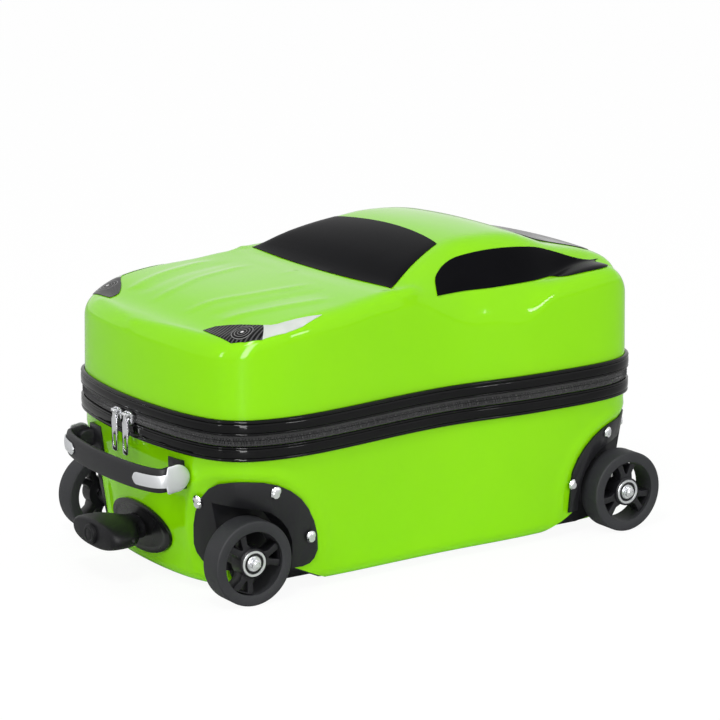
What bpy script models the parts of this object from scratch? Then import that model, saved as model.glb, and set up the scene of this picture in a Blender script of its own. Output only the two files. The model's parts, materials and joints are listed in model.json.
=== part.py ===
"""Children's hard-shell suitcase in the shape of a small car.

A tub on four wheels and a lid hinged at the rear, with a zip belt between them, a carry
handle on the front and a two-stage pull rod below it. Metres, +Z up, the front at -X.
Shapes are laid out from the middle of the wheelbase and the whole case is then moved
along X, so that the origin lies under the centre of its overall box.
"""

import math

import bmesh
import bpy
from mathutils import Vector

# Fits
GAP = 0.0003
RUNNING_GAP = 0.0008

# Wheels and axles
WHEEL_DIAMETER = 0.072
WHEEL_WIDTH = 0.022
WHEELBASE = 0.384
TRACK = 0.248
HUB_DIAMETER = 0.053
RIM_THICKNESS = 0.0035
WEB_THICKNESS = 0.009
BEARING_DIAMETER = 0.022
BEARING_WIDTH = 0.007
AXLE_DIAMETER = 0.008
BOLT_HEAD_WIDTH = 0.0115
BOLT_HEAD_HEIGHT = 0.004
SPOKES = 3
FRONT_SPOKE_TURN = 35
WHEEL_SIDES = 18
TREAD_EDGE = 0.0025

# Case in plan, over the belt
CASE_FRONT = 0.233
CASE_REAR = 0.231
FENDER_OVER_TRACK = 0.017
HAUNCH_OVER_TRACK = 0.0055
WAIST_DRAW_IN = 0.0165
FENDER_X = -0.162
WAIST_X = 0.012
HAUNCH_X = 0.095
FRONT_BOW = 0.022
REAR_BOW = 0.022
CORNER_POWER = 8
CORNER_WEIGHT = 0.11
STATIONS = 48

# Case in height
FLOOR_HEIGHT = 0.005
SEAM_HEIGHT = 0.136
BELT_HEIGHT = 0.034
TAPE_WIDTH = 0.004
SHELL_WALL = 0.0025
LOWER_DRAFT = 0.001
LOWER_DRAFT_PER_WIDTH = 0.75
UPPER_DRAFT = 0.001
FLOOR_RADIUS = 0.012
FOOT_CORNER_POWER = 4.5
SHOULDER_RADIUS = 0.016
BINDING_THICKNESS = 0.003
TAPE_RECESS = 0.002

# Top of the lid
BONNET_LIP_HEIGHT = 0.212
BONNET_HEIGHT = 0.238
BONNET_CROWN = 0.005
SILL_HEIGHT = 0.229
HAUNCH_HEIGHT = 0.234
TAIL_HEIGHT = 0.218
ROOF_HEIGHT = 0.2715
ROOF_X = 0.060
WINDSCREEN_BULGE = 0.0035
WINDSCREEN_FOOT_X = -0.050
WINDSCREEN_HEAD_X = 0.025
WINDSCREEN_HEAD_DROP = 0.004
ROOF_HALF_WIDTH = 0.087
PILLAR_HALF_WIDTH = 0.121
PILLAR_WIDTH = 0.003
REAR_GLASS_HALF_WIDTH = 0.050
REAR_GLASS_SPREAD = 0.014
ROOF_CROWN = 0.003
SIDE_GLASS_SLOPE = 1.45
LID_BENDS = 4
LID_SHARES = (0.93, 0.84, 0.70, 0.45, 0.20, 0)

# Window and headlight panels
PANEL_OFFSET = 0.0005
PANEL_THICKNESS = 0.0005

# Linings
LINING_THICKNESS = 0.0008
LINING_CLEARANCE = 0.0022
LINING_CORNER = 0.012
LID_LINING_HEIGHT = 0.206
LINING_FLOOR_HEIGHT = 0.0545
LINING_RIM_DROP = 0.0025
POCKET_CLEARANCE = 0.0022

# Wheel housings
ARCH_CLEARANCE = 0.0065
HOUSING_WALL = 0.0025
FRONT_FLANGE_WIDTH = 0.023
REAR_FLANGE_WIDTH = 0.019
REAR_FLANGE_SHIFT = 0.005
FLANGE_THICKNESS = 0.002
FLANGE_FOOT_HEIGHT = 0.0215
FRONT_FLANGE_END_WIDTH = 0.024
REAR_FLANGE_END_WIDTH = 0.019
ARCH_RISE = 0.18
ARCH_RUN_OUT = 2.2
WHEEL_INNER_CLEARANCE = 0.013
STRIP_THICKNESS = 0.001
STRIP_CLEARANCE = 0.0009
STRIP_MARGIN = 0.0025
RIVET_RADIUS = 0.0022
RIVET_HEAD_RADIUS = 0.0042
RIVET_HEAD_HEIGHT = 0.0018
RIVET_HEAD_GAP = 0.0012
FRONT_RIVET_RING = 0.0580
REAR_RIVET_RING = 0.0525
FRONT_RIVET_ANGLES = (11, 69)
REAR_RIVET_ANGLES = (13, 80)
FRONT_RIVET_CORNER_HEIGHT = 0.0785
REAR_RIVET_CORNER_HEIGHT = 0.087
RIVET_CORNER_INSET = 0.0073

# Carry handle
HANDLE_SPAN = 0.158
HANDLE_REACH = 0.025
HANDLE_DROOP = 0.003
HANDLE_HEIGHT = 0.020
HANDLE_THICKNESS = 0.005
STRAP_ROUNDING = 0.0015
HANDLE_PIVOT_DROP = 0.018
HANDLE_PIVOT_OFFSET = 0.0125
HANDLE_PIN_RADIUS = 0.003
INSERT_STATIONS = 7
INSERT_WIDTH = 0.012
INSERT_HEAD_RADIUS = 0.0115
INSERT_THICKNESS = 0.001
MOUNT_WIDTH = 0.019
MOUNT_HEIGHT = 0.024
MOUNT_LUG_THICKNESS = 0.007
MOUNT_LUG_RADIUS = 0.0065

# Pull rod
ROD_HEIGHT = 0.040
PLATE_LENGTH = 0.095
PLATE_HEIGHT = 0.043
PLATE_THICKNESS = 0.003
INNER_TUBE_RADIUS = 0.007
MIDDLE_TUBE_RADIUS = 0.009
OUTER_TUBE_RADIUS = 0.011
TUBE_WALL = 0.0015
INNER_TUBE_LENGTH = 0.340
MIDDLE_TUBE_LENGTH = 0.334
OUTER_TUBE_LENGTH = 0.346
BUSH_LENGTH = 0.010
GRIP_STANDOFF = 0.0018
GRIP_LENGTH = 0.0415
GRIP_WIDTH = 0.077
GRIP_HEIGHT = 0.0220
GRIP_NECK_WIDTH = 0.034
GRIP_NECK_HEIGHT = 0.019
GRIP_SOCKET_DEPTH = 0.0170
BUTTON_RADIUS = 0.0085
BUTTON_PROUD = 0.0035
BUTTON_LENGTH = 0.009
BUTTON_TRAVEL = 0.003
SPRING_RADIUS = 0.006
SPRING_WIRE = 0.0009
SPRING_TURNS = 3
RELEASE_ROD_RADIUS = 0.0018
RELEASE_ROD_LENGTH = 0.30
BRACKET_WIDTH = 0.034
BRACKET_THICKNESS = 0.008

# Zip
HINGE_TAPE_LENGTH = 0.150
HINGE_TAPE_THICKNESS = 0.0012
SLIDER_SPACING = 0.018
SLIDER_LENGTH = 0.013
SLIDER_HEIGHT = 0.0115
SLIDER_THICKNESS = 0.0026
PULL_LENGTH = 0.034
PULL_WIDTH = 0.0085
PULL_THICKNESS = 0.0018
PULL_RISE = 0.003
PULL_BAR_RADIUS = 0.0009

# Heights and places that follow
FRONT_HALF_WIDTH = TRACK / 2 + FENDER_OVER_TRACK
REAR_HALF_WIDTH = TRACK / 2 + HAUNCH_OVER_TRACK
WAIST_HALF_WIDTH = FRONT_HALF_WIDTH - WAIST_DRAW_IN
WHEEL_RADIUS = WHEEL_DIAMETER / 2
AXLE_HEIGHT = WHEEL_RADIUS * math.cos(math.pi / WHEEL_SIDES)
BELT_BOTTOM = SEAM_HEIGHT - BELT_HEIGHT / 2
BELT_TOP = SEAM_HEIGHT + BELT_HEIGHT / 2
LINING_RIM_HEIGHT = SEAM_HEIGHT - LINING_RIM_DROP
HANDLE_PIVOT_HEIGHT = BELT_BOTTOM - HANDLE_PIVOT_DROP
PULL_HEIGHT = SEAM_HEIGHT + PULL_RISE
SHELL_INSET = BINDING_THICKNESS + GAP
ARCH_RADIUS = WHEEL_RADIUS + ARCH_CLEARANCE
POCKET_Y = TRACK / 2 - WHEEL_WIDTH / 2 - WHEEL_INNER_CLEARANCE
REACH = 3 * WHEEL_DIAMETER
HANDLE_PIVOT_Y = HANDLE_SPAN / 2
MERGE = 0.00001

SHELL_GREEN = ("shell_green", (0.27, 0.73, 0.02), 0.12, 0.0)
GLOSS_BLACK = ("gloss_black", (0.012, 0.012, 0.014), 0.10, 0.0)
MATT_BLACK = ("matt_black", (0.022, 0.022, 0.025), 0.42, 0.0)
RUBBER_BLACK = ("rubber_black", (0.03, 0.03, 0.033), 0.62, 0.0)
TAPE_BLACK = ("tape_black", (0.02, 0.02, 0.022), 0.80, 0.0)
LINING_GREY = ("lining_grey", (0.16, 0.17, 0.18), 0.85, 0.0)
LAMP_SILVER = ("lamp_silver", (0.75, 0.77, 0.80), 0.18, 0.0)
BRIGHT_METAL = ("bright_metal", (0.80, 0.81, 0.83), 0.25, 1.0)
SATIN_SILVER = ("satin_silver", (0.70, 0.71, 0.73), 0.35, 1.0)
ROD_STEEL = ("rod_steel", (0.62, 0.63, 0.65), 0.30, 1.0)


# Scene

def clear_scene():
    for old in list(bpy.data.objects):
        bpy.data.objects.remove(old, do_unlink=True)


def new_collection(name):
    collection = bpy.data.collections.new(name)
    bpy.context.scene.collection.children.link(collection)
    return collection


def material(finish):
    """The material of a finish: its name, colour, roughness and metallic value."""
    name, colour, roughness, metallic = finish
    found = bpy.data.materials.get(name)
    if found:
        return found
    made = bpy.data.materials.new(name)
    made.use_nodes = True
    shader = made.node_tree.nodes["Principled BSDF"]
    shader.inputs["Base Color"].default_value = (*colour, 1.0)
    shader.inputs["Roughness"].default_value = roughness
    shader.inputs["Metallic"].default_value = metallic
    made.diffuse_color = (*colour, 1.0)
    return made


clear_scene()
PIECES = new_collection("kids_hard_shell_suitcase")
CUTTERS = new_collection("cutters")
FRAME = bpy.data.objects.new("case_frame", None)
PIECES.objects.link(FRAME)


def axis_empty(name, place):
    """An empty on a joint's axis, which carries the pieces that move about it."""
    empty = bpy.data.objects.new(name, None)
    empty.empty_display_size = 0.02
    empty.location = place
    empty.parent = FRAME
    PIECES.objects.link(empty)
    return empty


def finish_mesh(bm, name):
    """The mesh of a bmesh: doubles merged, faces outwards, smooth but for sharp edges."""
    bmesh.ops.remove_doubles(bm, verts=bm.verts, dist=MERGE)
    bmesh.ops.dissolve_degenerate(bm, edges=bm.edges, dist=MERGE)
    if all(edge.is_manifold for edge in bm.edges):
        bmesh.ops.recalc_face_normals(bm, faces=bm.faces)
    mesh = bpy.data.meshes.new(name)
    bm.to_mesh(mesh)
    bm.free()
    mesh.shade_smooth()
    mesh.set_sharp_from_angle(angle=math.radians(35))
    return mesh


def piece(name, bm, finish, carrier=None):
    """A named piece from a bmesh in case coordinates, carried by an axis empty or the frame."""
    carrier = carrier or FRAME
    if carrier is not FRAME:
        bmesh.ops.translate(bm, verts=bm.verts, vec=-carrier.location)
    made = bpy.data.objects.new(name, finish_mesh(bm, name))
    made.data.materials.append(material(finish))
    made.parent = carrier
    PIECES.objects.link(made)
    return made


def cutter(name, bm):
    """A helper solid for Boolean modifiers, in case coordinates."""
    made = bpy.data.objects.new(name, finish_mesh(bm, name))
    made.parent = FRAME
    made.hide_render = True
    made.display_type = "WIRE"
    CUTTERS.objects.link(made)
    return made


def boolean(target, other, operation):
    step = target.modifiers.new(f"{operation.lower()}_{other.name}", "BOOLEAN")
    step.operation = operation
    step.object = other
    step.solver = "EXACT"


def thicken(target, thickness, outwards):
    """A wall on the outer or inner side of an open surface."""
    step = target.modifiers.new("wall", "SOLIDIFY")
    step.thickness = thickness
    step.offset = 1.0 if outwards else -1.0
    step.use_even_offset = True


# Mesh makers

def loft(rows, around=False, closed=False, bm=None):
    """Faces between rows of points, every cell split the same way, so that surfaces on the same rows nest.

    around joins each row's ends, and closed joins the first and last row."""
    bm = bm or bmesh.new()
    grid = [[bm.verts.new(point) for point in row] for row in rows]
    if closed:
        grid.append(grid[0])
    for first, second in zip(grid, grid[1:]):
        if around:
            first, second = first + first[:1], second + second[:1]
        for a, b, c, d in zip(first, first[1:], second[1:], second):
            bm.faces.new((a, b, c))
            bm.faces.new((a, c, d))
    return bm


def capped(rows, bm=None):
    """A closed solid lofted through rings, with a flat cap at each end."""
    bm = bm or bmesh.new()
    grid = [[bm.verts.new(point) for point in row] for row in rows]
    for first, second in zip(grid, grid[1:]):
        ring = list(zip(first, first[1:] + first[:1], second[1:] + second[:1], second))
        for corners in ring:
            bm.faces.new(corners)
    bm.faces.new(reversed(grid[0]))
    bm.faces.new(grid[-1])
    return bm


def side_prism(outline, y_start, y_end, bm=None):
    """A solid whose outline in X and Z is given, between two places along Y."""
    return capped([[Vector((x, y, z)) for x, z in outline] for y in (y_start, y_end)], bm)


def circle(radius, sides, turn=0.5):
    """Points of a circle about the origin, with a flat side at the bottom when turn is a half."""
    steps = [2 * math.pi * (i + turn) / sides for i in range(sides)]
    return [(radius * math.sin(a), -radius * math.cos(a)) for a in steps]


def rod(radius, start, end, sides=16, bm=None):
    """A round bar between two points."""
    start, end = Vector(start), Vector(end)
    turn = (end - start).to_track_quat("Z", "Y")
    rows = [[at + turn @ Vector((x, y, 0)) for x, y in circle(radius, sides)] for at in (start, end)]
    return capped(rows, bm)


def stacked(profile, start, direction, sides=12, bm=None):
    """A solid of round rings along a direction. profile lists each ring's radius and distance."""
    start, direction = Vector(start), Vector(direction).normalized()
    turn = direction.to_track_quat("Z", "Y")
    rows = [
        [start + direction * along + turn @ Vector((x, y, 0)) for x, y in circle(radius, sides)]
        for radius, along in profile
    ]
    return capped(rows, bm)


def ring_about_y(profile, centre, sides, outwards):
    """A ring turned about an axis along Y. profile lists each corner's radius and distance outwards."""
    rows = []
    for radius, along in profile:
        y = centre[1] + outwards * along
        rows.append([Vector((centre[0] + x, y, centre[2] + z)) for x, z in circle(radius, sides)])
    return loft(rows, around=True, closed=True)


def tube_along_x(outer, inner, start, end, height, sides=20):
    rows = []
    for radius, x in ((outer, start), (outer, end), (inner, end), (inner, start)):
        rows.append([Vector((x, y, height + z)) for y, z in circle(radius, sides)])
    return loft(rows, around=True, closed=True)


# Plan of the case

def ease(share):
    """Smooth step from 0 to 1."""
    share = min(max(share, 0.0), 1.0)
    return share * share * (3 - 2 * share)


def half_width(x):
    """Half the belt's width: full over the front wheels, drawn in at the waist, wider at the rear."""
    if x < WAIST_X:
        share = ease((x - FENDER_X) / (WAIST_X - FENDER_X))
        return FRONT_HALF_WIDTH + (WAIST_HALF_WIDTH - FRONT_HALF_WIDTH) * share
    share = ease((x - WAIST_X) / (HAUNCH_X - WAIST_X))
    return WAIST_HALF_WIDTH + (REAR_HALF_WIDTH - WAIST_HALF_WIDTH) * share


def belt_point(u, v):
    """A point of the belt from its shares of the half length and the half width."""
    x = CASE_REAR * u - REAR_BOW * u * v**3 if u > 0 else CASE_FRONT * u - FRONT_BOW * u * v**2
    return x, -v * half_width(x)


def half_belt():
    """Close points of the belt's -Y half, from the front centre to the rear centre."""
    steps = 60
    corner = 0.5 ** (1 / CORNER_POWER)
    across = [corner * i / steps for i in range(steps)]
    along = [-corner + 2 * corner * i / (2 * steps) for i in range(2 * steps)]
    front = [belt_point(-((1 - v**CORNER_POWER) ** (1 / CORNER_POWER)), v) for v in across]
    side = [belt_point(u, (1 - abs(u) ** CORNER_POWER) ** (1 / CORNER_POWER)) for u in along]
    rear = [belt_point((1 - v**CORNER_POWER) ** (1 / CORNER_POWER), v) for v in [corner] + across[::-1]]
    return front + side + rear


def belt_stations(count):
    """Point and outward normal at count places round the belt, closest together at the corners."""
    points = [Vector(p) for p in half_belt()]
    runs = [(b - a) for a, b in zip(points, points[1:])]
    headings = [math.atan2(run.y, run.x) for run in runs]
    reached = [0.0]
    for i, run in enumerate(runs):
        turn = abs(headings[i] - headings[i - 1]) if i else 0.0
        turn = min(turn, 2 * math.pi - turn)
        reached.append(reached[-1] + run.length + CORNER_WEIGHT * turn)
    half = count // 2
    stations = []
    for k in range(half + 1):
        goal = reached[-1] * k / half
        i = max(j for j in range(len(runs)) if reached[j] <= goal or j == 0)
        share = (goal - reached[i]) / (reached[i + 1] - reached[i])
        point = points[i] + runs[i] * share
        before, after = runs[max(i - 1, 0)], runs[min(i + 1, len(runs) - 1)]
        heading = (before + after).normalized()
        stations.append((point, Vector((heading.y, -heading.x))))
    stations[0] = (points[0], Vector((-1, 0)))
    stations[-1] = (points[-1], Vector((1, 0)))
    mirrored = [(Vector((p.x, -p.y)), Vector((n.x, -n.y))) for p, n in stations[-2:0:-1]]
    return stations + mirrored


BELT = belt_stations(STATIONS)
LINING_BELT = belt_stations(STATIONS // 2)
RIDGE = CASE_REAR - 0.085


def belt_ring(offset, z, belt=BELT):
    """A ring round the case, offset outwards from the belt's plan at one height."""
    return [Vector((p.x + n.x * offset, p.y + n.y * offset, z)) for p, n in belt]


def below_belt(z):
    """Share of the way from the belt down to the floor."""
    return max(0.0, BELT_BOTTOM - z) / (BELT_BOTTOM - FLOOR_HEIGHT)


def tub_offset(point, z):
    """How far the tub's outer wall stands off the belt's plan at one place and height."""
    draft = LOWER_DRAFT + LOWER_DRAFT_PER_WIDTH * (half_width(point.x) - WAIST_HALF_WIDTH)
    return -SHELL_INSET - draft * below_belt(z)


def corner_draw(point):
    """Share by which a point of the belt's plan is drawn in at the floor, whose corners are rounder."""
    v = abs(point.y) / half_width(point.x)
    reach = CASE_REAR - REAR_BOW * v**3 if point.x > 0 else CASE_FRONT - FRONT_BOW * v**2
    u = abs(point.x) / reach
    return 1 - (u**FOOT_CORNER_POWER + v**FOOT_CORNER_POWER) ** (-1 / FOOT_CORNER_POWER)


def tub_ring(beyond, level, z, belt=BELT):
    """A ring on the tub's wall as it is at a level, moved outwards by beyond and drawn at z."""
    ring = []
    for p, n in belt:
        offset = beyond + tub_offset(p, level)
        kept = 1 - max(corner_draw(p), 0.0) * below_belt(level)
        ring.append(Vector((p.x * kept + n.x * offset, p.y * kept + n.y * offset, z)))
    return ring


# Top of the lid as a height over the plan

def through(points, x):
    """The height at x of a smooth curve through points."""
    if x <= points[0][0]:
        return points[0][1]
    if x >= points[-1][0]:
        return points[-1][1]
    i = max(j for j in range(len(points) - 1) if points[j][0] <= x)

    def slope(j):
        if j == 0 or j == len(points) - 1:
            near = (0, 1) if j == 0 else (-2, -1)
            return (points[near[1]][1] - points[near[0]][1]) / (points[near[1]][0] - points[near[0]][0])
        return (points[j + 1][1] - points[j - 1][1]) / (points[j + 1][0] - points[j - 1][0])

    (x0, z0), (x1, z1) = points[i], points[i + 1]
    run = x1 - x0
    t = (x - x0) / run
    return (
        z0 * (2 * t**3 - 3 * t**2 + 1)
        + slope(i) * run * (t**3 - 2 * t**2 + t)
        + z1 * (3 * t**2 - 2 * t**3)
        + slope(i + 1) * run * (t**3 - t**2)
    )


def deck_height(x):
    """Bonnet, shoulder under the side windows, haunch and tail."""
    return through(
        [
            (-CASE_FRONT + SHOULDER_RADIUS, BONNET_LIP_HEIGHT),
            (-0.72 * CASE_FRONT, BONNET_HEIGHT - 0.0085),
            (WINDSCREEN_FOOT_X - 0.045, BONNET_HEIGHT - 0.0005),
            (WINDSCREEN_FOOT_X, BONNET_HEIGHT),
            (WINDSCREEN_HEAD_X + 0.005, SILL_HEIGHT),
            (0.5 * CASE_REAR, SILL_HEIGHT),
            (0.8 * CASE_REAR, HAUNCH_HEIGHT),
            (CASE_REAR - SHOULDER_RADIUS, TAIL_HEIGHT),
        ],
        x,
    )


def roof_height(x):
    """The cabin along its centre line."""
    head = ROOF_HEIGHT - WINDSCREEN_HEAD_DROP
    fall = (head - BONNET_HEIGHT) / (WINDSCREEN_HEAD_X - WINDSCREEN_FOOT_X)
    return through(
        [
            (WINDSCREEN_FOOT_X - 0.050, BONNET_HEIGHT - fall * 0.050),
            (WINDSCREEN_FOOT_X, BONNET_HEIGHT),
            (0.5 * (WINDSCREEN_FOOT_X + WINDSCREEN_HEAD_X), 0.5 * (BONNET_HEIGHT + head) + WINDSCREEN_BULGE),
            (WINDSCREEN_HEAD_X, head),
            (ROOF_X, ROOF_HEIGHT),
            (ROOF_X + 0.045, ROOF_HEIGHT - 0.003),
            (0.64 * CASE_REAR, ROOF_HEIGHT - 0.018),
            (0.9 * CASE_REAR, HAUNCH_HEIGHT + 0.004),
            (CASE_REAR, TAIL_HEIGHT),
        ],
        x,
    )


def roof_half_width(x):
    """Where the roof turns down into the side glass."""
    return through(
        [
            (WINDSCREEN_FOOT_X, PILLAR_HALF_WIDTH),
            (WINDSCREEN_HEAD_X, ROOF_HALF_WIDTH + 0.002),
            (ROOF_X, ROOF_HALF_WIDTH),
            (0.6 * CASE_REAR, ROOF_HALF_WIDTH - 0.006),
            (CASE_REAR, ROOF_HALF_WIDTH - 0.012),
        ],
        x,
    )


def soft_ramp(t, softness):
    """0 below 0 and t above it, with a rounded turn."""
    return softness * math.log1p(math.exp(min(t / softness, 60.0)))


def top_height(x, y):
    """The lid's top before its edge is rounded."""
    half = roof_half_width(x)
    side = soft_ramp(abs(y) - half, 0.004) * SIDE_GLASS_SLOPE
    cabin = roof_height(x) - ROOF_CROWN * (y / half) ** 2 - side
    deck = deck_height(x) - BONNET_CROWN * (y / FRONT_HALF_WIDTH) ** 2 * ease(x / WINDSCREEN_FOOT_X - 1)
    return deck + soft_ramp(cabin - deck, 0.0035)


def shoulder_bend(point, normal):
    """Start, corner and end of the curve that rounds the wall into the top at one station."""
    edge = -SHELL_INSET - UPPER_DRAFT
    inner = point + normal * (edge - SHOULDER_RADIUS)
    further = point + normal * (edge - SHOULDER_RADIUS - 0.001)
    height = top_height(inner.x, inner.y)
    rise = (top_height(further.x, further.y) - height) / 0.001
    corner = height - max(rise, 0.0) * SHOULDER_RADIUS
    outer = point + normal * edge
    start = Vector((outer.x, outer.y, corner - SHOULDER_RADIUS))
    return start, Vector((outer.x, outer.y, corner)), Vector((inner.x, inner.y, height))


def bend_point(bend, t):
    start, corner, end = bend
    return start * (1 - t) ** 2 + corner * (2 * t * (1 - t)) + end * t**2


def lid_rows(rim_height):
    """Rings of the lid's outer surface from its rim up to the ridge along the middle."""
    bends = [shoulder_bend(p, n) for p, n in BELT]
    rows = [belt_ring(-SHELL_INSET, rim_height)]
    rows += [[bend_point(bend, step / LID_BENDS) for bend in bends] for step in range(LID_BENDS + 1)]
    for share in LID_SHARES:
        row = []
        for _, _, end in bends:
            ridge_x = min(max(end.x, -RIDGE), RIDGE)
            x, y = ridge_x + (end.x - ridge_x) * share, end.y * share
            row.append(Vector((x, y, top_height(x, y))))
        rows.append(row)
    return rows


# Lid

def make_lid(hinge):
    rim = SEAM_HEIGHT + TAPE_WIDTH + 2 * GAP
    skin = loft(lid_rows(rim), around=True)
    shell = piece("upper_shell", skin, SHELL_GREEN, hinge)
    thicken(shell, SHELL_WALL, outwards=False)
    inset = -SHELL_INSET - UPPER_DRAFT - SHELL_WALL - LINING_CLEARANCE
    rows = [
        belt_ring(inset, rim, LINING_BELT),
        belt_ring(inset, LID_LINING_HEIGHT - LINING_CORNER, LINING_BELT),
        belt_ring(inset - LINING_CORNER, LID_LINING_HEIGHT, LINING_BELT),
        [Vector((min(max(p.x, -RIDGE), RIDGE), 0, LID_LINING_HEIGHT)) for p, _ in LINING_BELT],
    ]
    lining = piece("upper_lining", loft(rows, around=True), LINING_GREY, hinge)
    thicken(lining, LINING_THICKNESS, outwards=False)
    make_binding("upper_binding", rim, BELT_TOP, hinge)
    make_tape("upper_zip_tape", SEAM_HEIGHT + GAP, SEAM_HEIGHT + TAPE_WIDTH + GAP, hinge)
    make_panels(hinge)


def make_binding(name, bottom, top, carrier=None):
    """The glossy strip that covers the shell's rim."""
    inner, round_off = -BINDING_THICKNESS, 0.0011
    profile = [(inner, bottom), (-round_off, bottom), (0, bottom + round_off), (0, top - round_off),
               (-round_off, top), (inner, top)]
    piece(name, loft([belt_ring(offset, z) for offset, z in profile], around=True, closed=True),
          GLOSS_BLACK, carrier)


def make_tape(name, bottom, top, carrier=None):
    """One half of the zip's tape, recessed between the two bindings."""
    inner, outer = -SHELL_INSET - SHELL_WALL, -TAPE_RECESS
    profile = [(inner, bottom), (outer, bottom), (outer, top), (inner, top)]
    piece(name, loft([belt_ring(offset, z) for offset, z in profile], around=True, closed=True),
          TAPE_BLACK, carrier)


def panel(name, outline, finish, carrier):
    """A thin panel on the lid's skin, as far as the outline prism reaches."""
    laid = piece(name, loft(lid_rows(BELT_TOP)[1:], around=True), finish, carrier)
    lift = laid.modifiers.new("off_the_skin", "DISPLACE")
    lift.mid_level = 0.0
    lift.strength = PANEL_OFFSET
    thicken(laid, PANEL_THICKNESS, outwards=True)
    boolean(laid, cutter(f"{name}_outline", outline), "INTERSECT")
    return laid


def plan_prism(outline):
    """A solid over a plan outline, from inside the lid to above its roof."""
    return capped([[Vector((x, y, z)) for x, y in outline] for z in (0.6 * ROOF_HEIGHT, 1.2 * ROOF_HEIGHT)])


def windscreen_outline(spread, beyond):
    """The windscreen in plan, drawn wider on each side by beyond."""
    foot, head = WINDSCREEN_FOOT_X + 0.0005, WINDSCREEN_HEAD_X + 0.008
    low = [(foot + 0.007 * v**2, (PILLAR_HALF_WIDTH - 0.012 + beyond) * v) for v in spread]
    high = [(head - 0.008 * v**2, (ROOF_HALF_WIDTH - 0.009 + beyond) * v) for v in spread]
    return low + high[::-1]


def rear_glass_outline(spread, beyond):
    """The rear window in plan, drawn wider on each side by beyond."""
    head, foot = 0.63 * CASE_REAR, 0.895 * CASE_REAR
    high = [(head - 0.003 * v**2, (REAR_GLASS_HALF_WIDTH + beyond) * v) for v in spread]
    low = [(foot - 0.008 * v**2, (REAR_GLASS_HALF_WIDTH + REAR_GLASS_SPREAD + beyond) * v) for v in spread]
    return high + low[::-1]


def make_panels(hinge):
    """Windscreen, rear window, side windows and headlights."""
    steps = 6
    spread = [2 * i / steps - 1 for i in range(steps + 1)]
    panel("windscreen", plan_prism(windscreen_outline(spread, 0.0)), GLOSS_BLACK, hinge)
    front_pillars = cutter("front_pillars", plan_prism(windscreen_outline(spread, PILLAR_WIDTH)))
    panel("rear_window", plan_prism(rear_glass_outline(spread, 0.0)), GLOSS_BLACK, hinge)
    rear_pillars = cutter("rear_pillars", plan_prism(rear_glass_outline(spread, PILLAR_WIDTH)))

    for side, flank in ((-1, "near"), (1, "far")):
        start, end = WINDSCREEN_HEAD_X - 0.026, 0.857 * CASE_REAR
        glass = [(0, 0.001), (0.012, 0.012), (0.037, 0.017), (0.10, 0.023), (0.205, 0.0275), (0.31, 0.0292),
                 (0.46, 0.0285), (0.62, 0.0245), (0.735, 0.018), (0.835, 0.011), (0.91, 0.007), (1, 0.005),
                 (0.81, 0.0042), (0.66, 0.0018), (0.4, 0.0008)]
        outline = side_prism([(start + (end - start) * share, SILL_HEIGHT + up) for share, up in glass],
                             side * 0.05, side * REACH)
        glass = panel(f"side_window_{flank}", outline, GLOSS_BLACK, hinge)
        boolean(glass, front_pillars, "DIFFERENCE")
        boolean(glass, rear_pillars, "DIFFERENCE")
        lamp = [(0.0295, 0.0635), (0.040, 0.061), (0.052, 0.043), (0.062, 0.024), (0.071, 0.0175),
                (0.096, 0.0155), (0.111, 0.014), (0.100, 0.011), (0.089, 0.0085), (0.073, 0.0085),
                (0.053, 0.0125), (0.033, 0.0265), (0.033, 0.041)]
        outline = [(-CASE_FRONT + behind, side * (FRONT_HALF_WIDTH - inside)) for behind, inside in lamp]
        panel(f"headlight_{flank}", plan_prism(outline), LAMP_SILVER, hinge)


# Tub

def tub_rows(beyond, floor, rim, bends=2, belt=BELT):
    """Rings of the tub's outer surface, from the ridge along its floor up to its rim."""
    foot = floor + FLOOR_RADIUS
    rows = [[Vector((min(max(p.x, -RIDGE), RIDGE), 0, floor)) for p, _ in belt]]
    for i in range(bends + 1):
        angle = math.pi / 2 * i / bends
        inset = FLOOR_RADIUS * (1 - math.sin(angle))
        rows.append(tub_ring(beyond - inset, foot, foot - FLOOR_RADIUS * math.cos(angle), belt))
    if rim > BELT_BOTTOM:
        rows.append(tub_ring(beyond, BELT_BOTTOM, BELT_BOTTOM, belt))
    rows.append(tub_ring(beyond, rim, rim, belt))
    return rows


def filled(rows):
    """The space inside rings that rise from a ridge, closed over the last one."""
    bm = loft(rows, around=True)
    bmesh.ops.remove_doubles(bm, verts=bm.verts, dist=MERGE)
    bmesh.ops.holes_fill(bm, edges=[edge for edge in bm.edges if edge.is_boundary])
    return bm


def arch_outline(axle_x, outwards, radius, foot=-0.02):
    """The side outline of a wheel arch, open towards the case's end and downwards.

    Below FLANGE_FOOT_HEIGHT it runs out, further than down by ARCH_RUN_OUT."""
    steps = 6
    run_out = ARCH_RUN_OUT * (FLANGE_FOOT_HEIGHT - foot)
    points = [(-radius - run_out, foot), (-radius, FLANGE_FOOT_HEIGHT)]
    for i in range(steps + 1):
        angle = math.pi / 2 * i / steps
        points.append((-radius * math.cos(angle), AXLE_HEIGHT + radius * math.sin(angle)))
    points.append((REACH, AXLE_HEIGHT + radius + ARCH_RISE * REACH))
    points.append((REACH, foot))
    return [(axle_x + outwards * x, z) for x, z in points]


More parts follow.
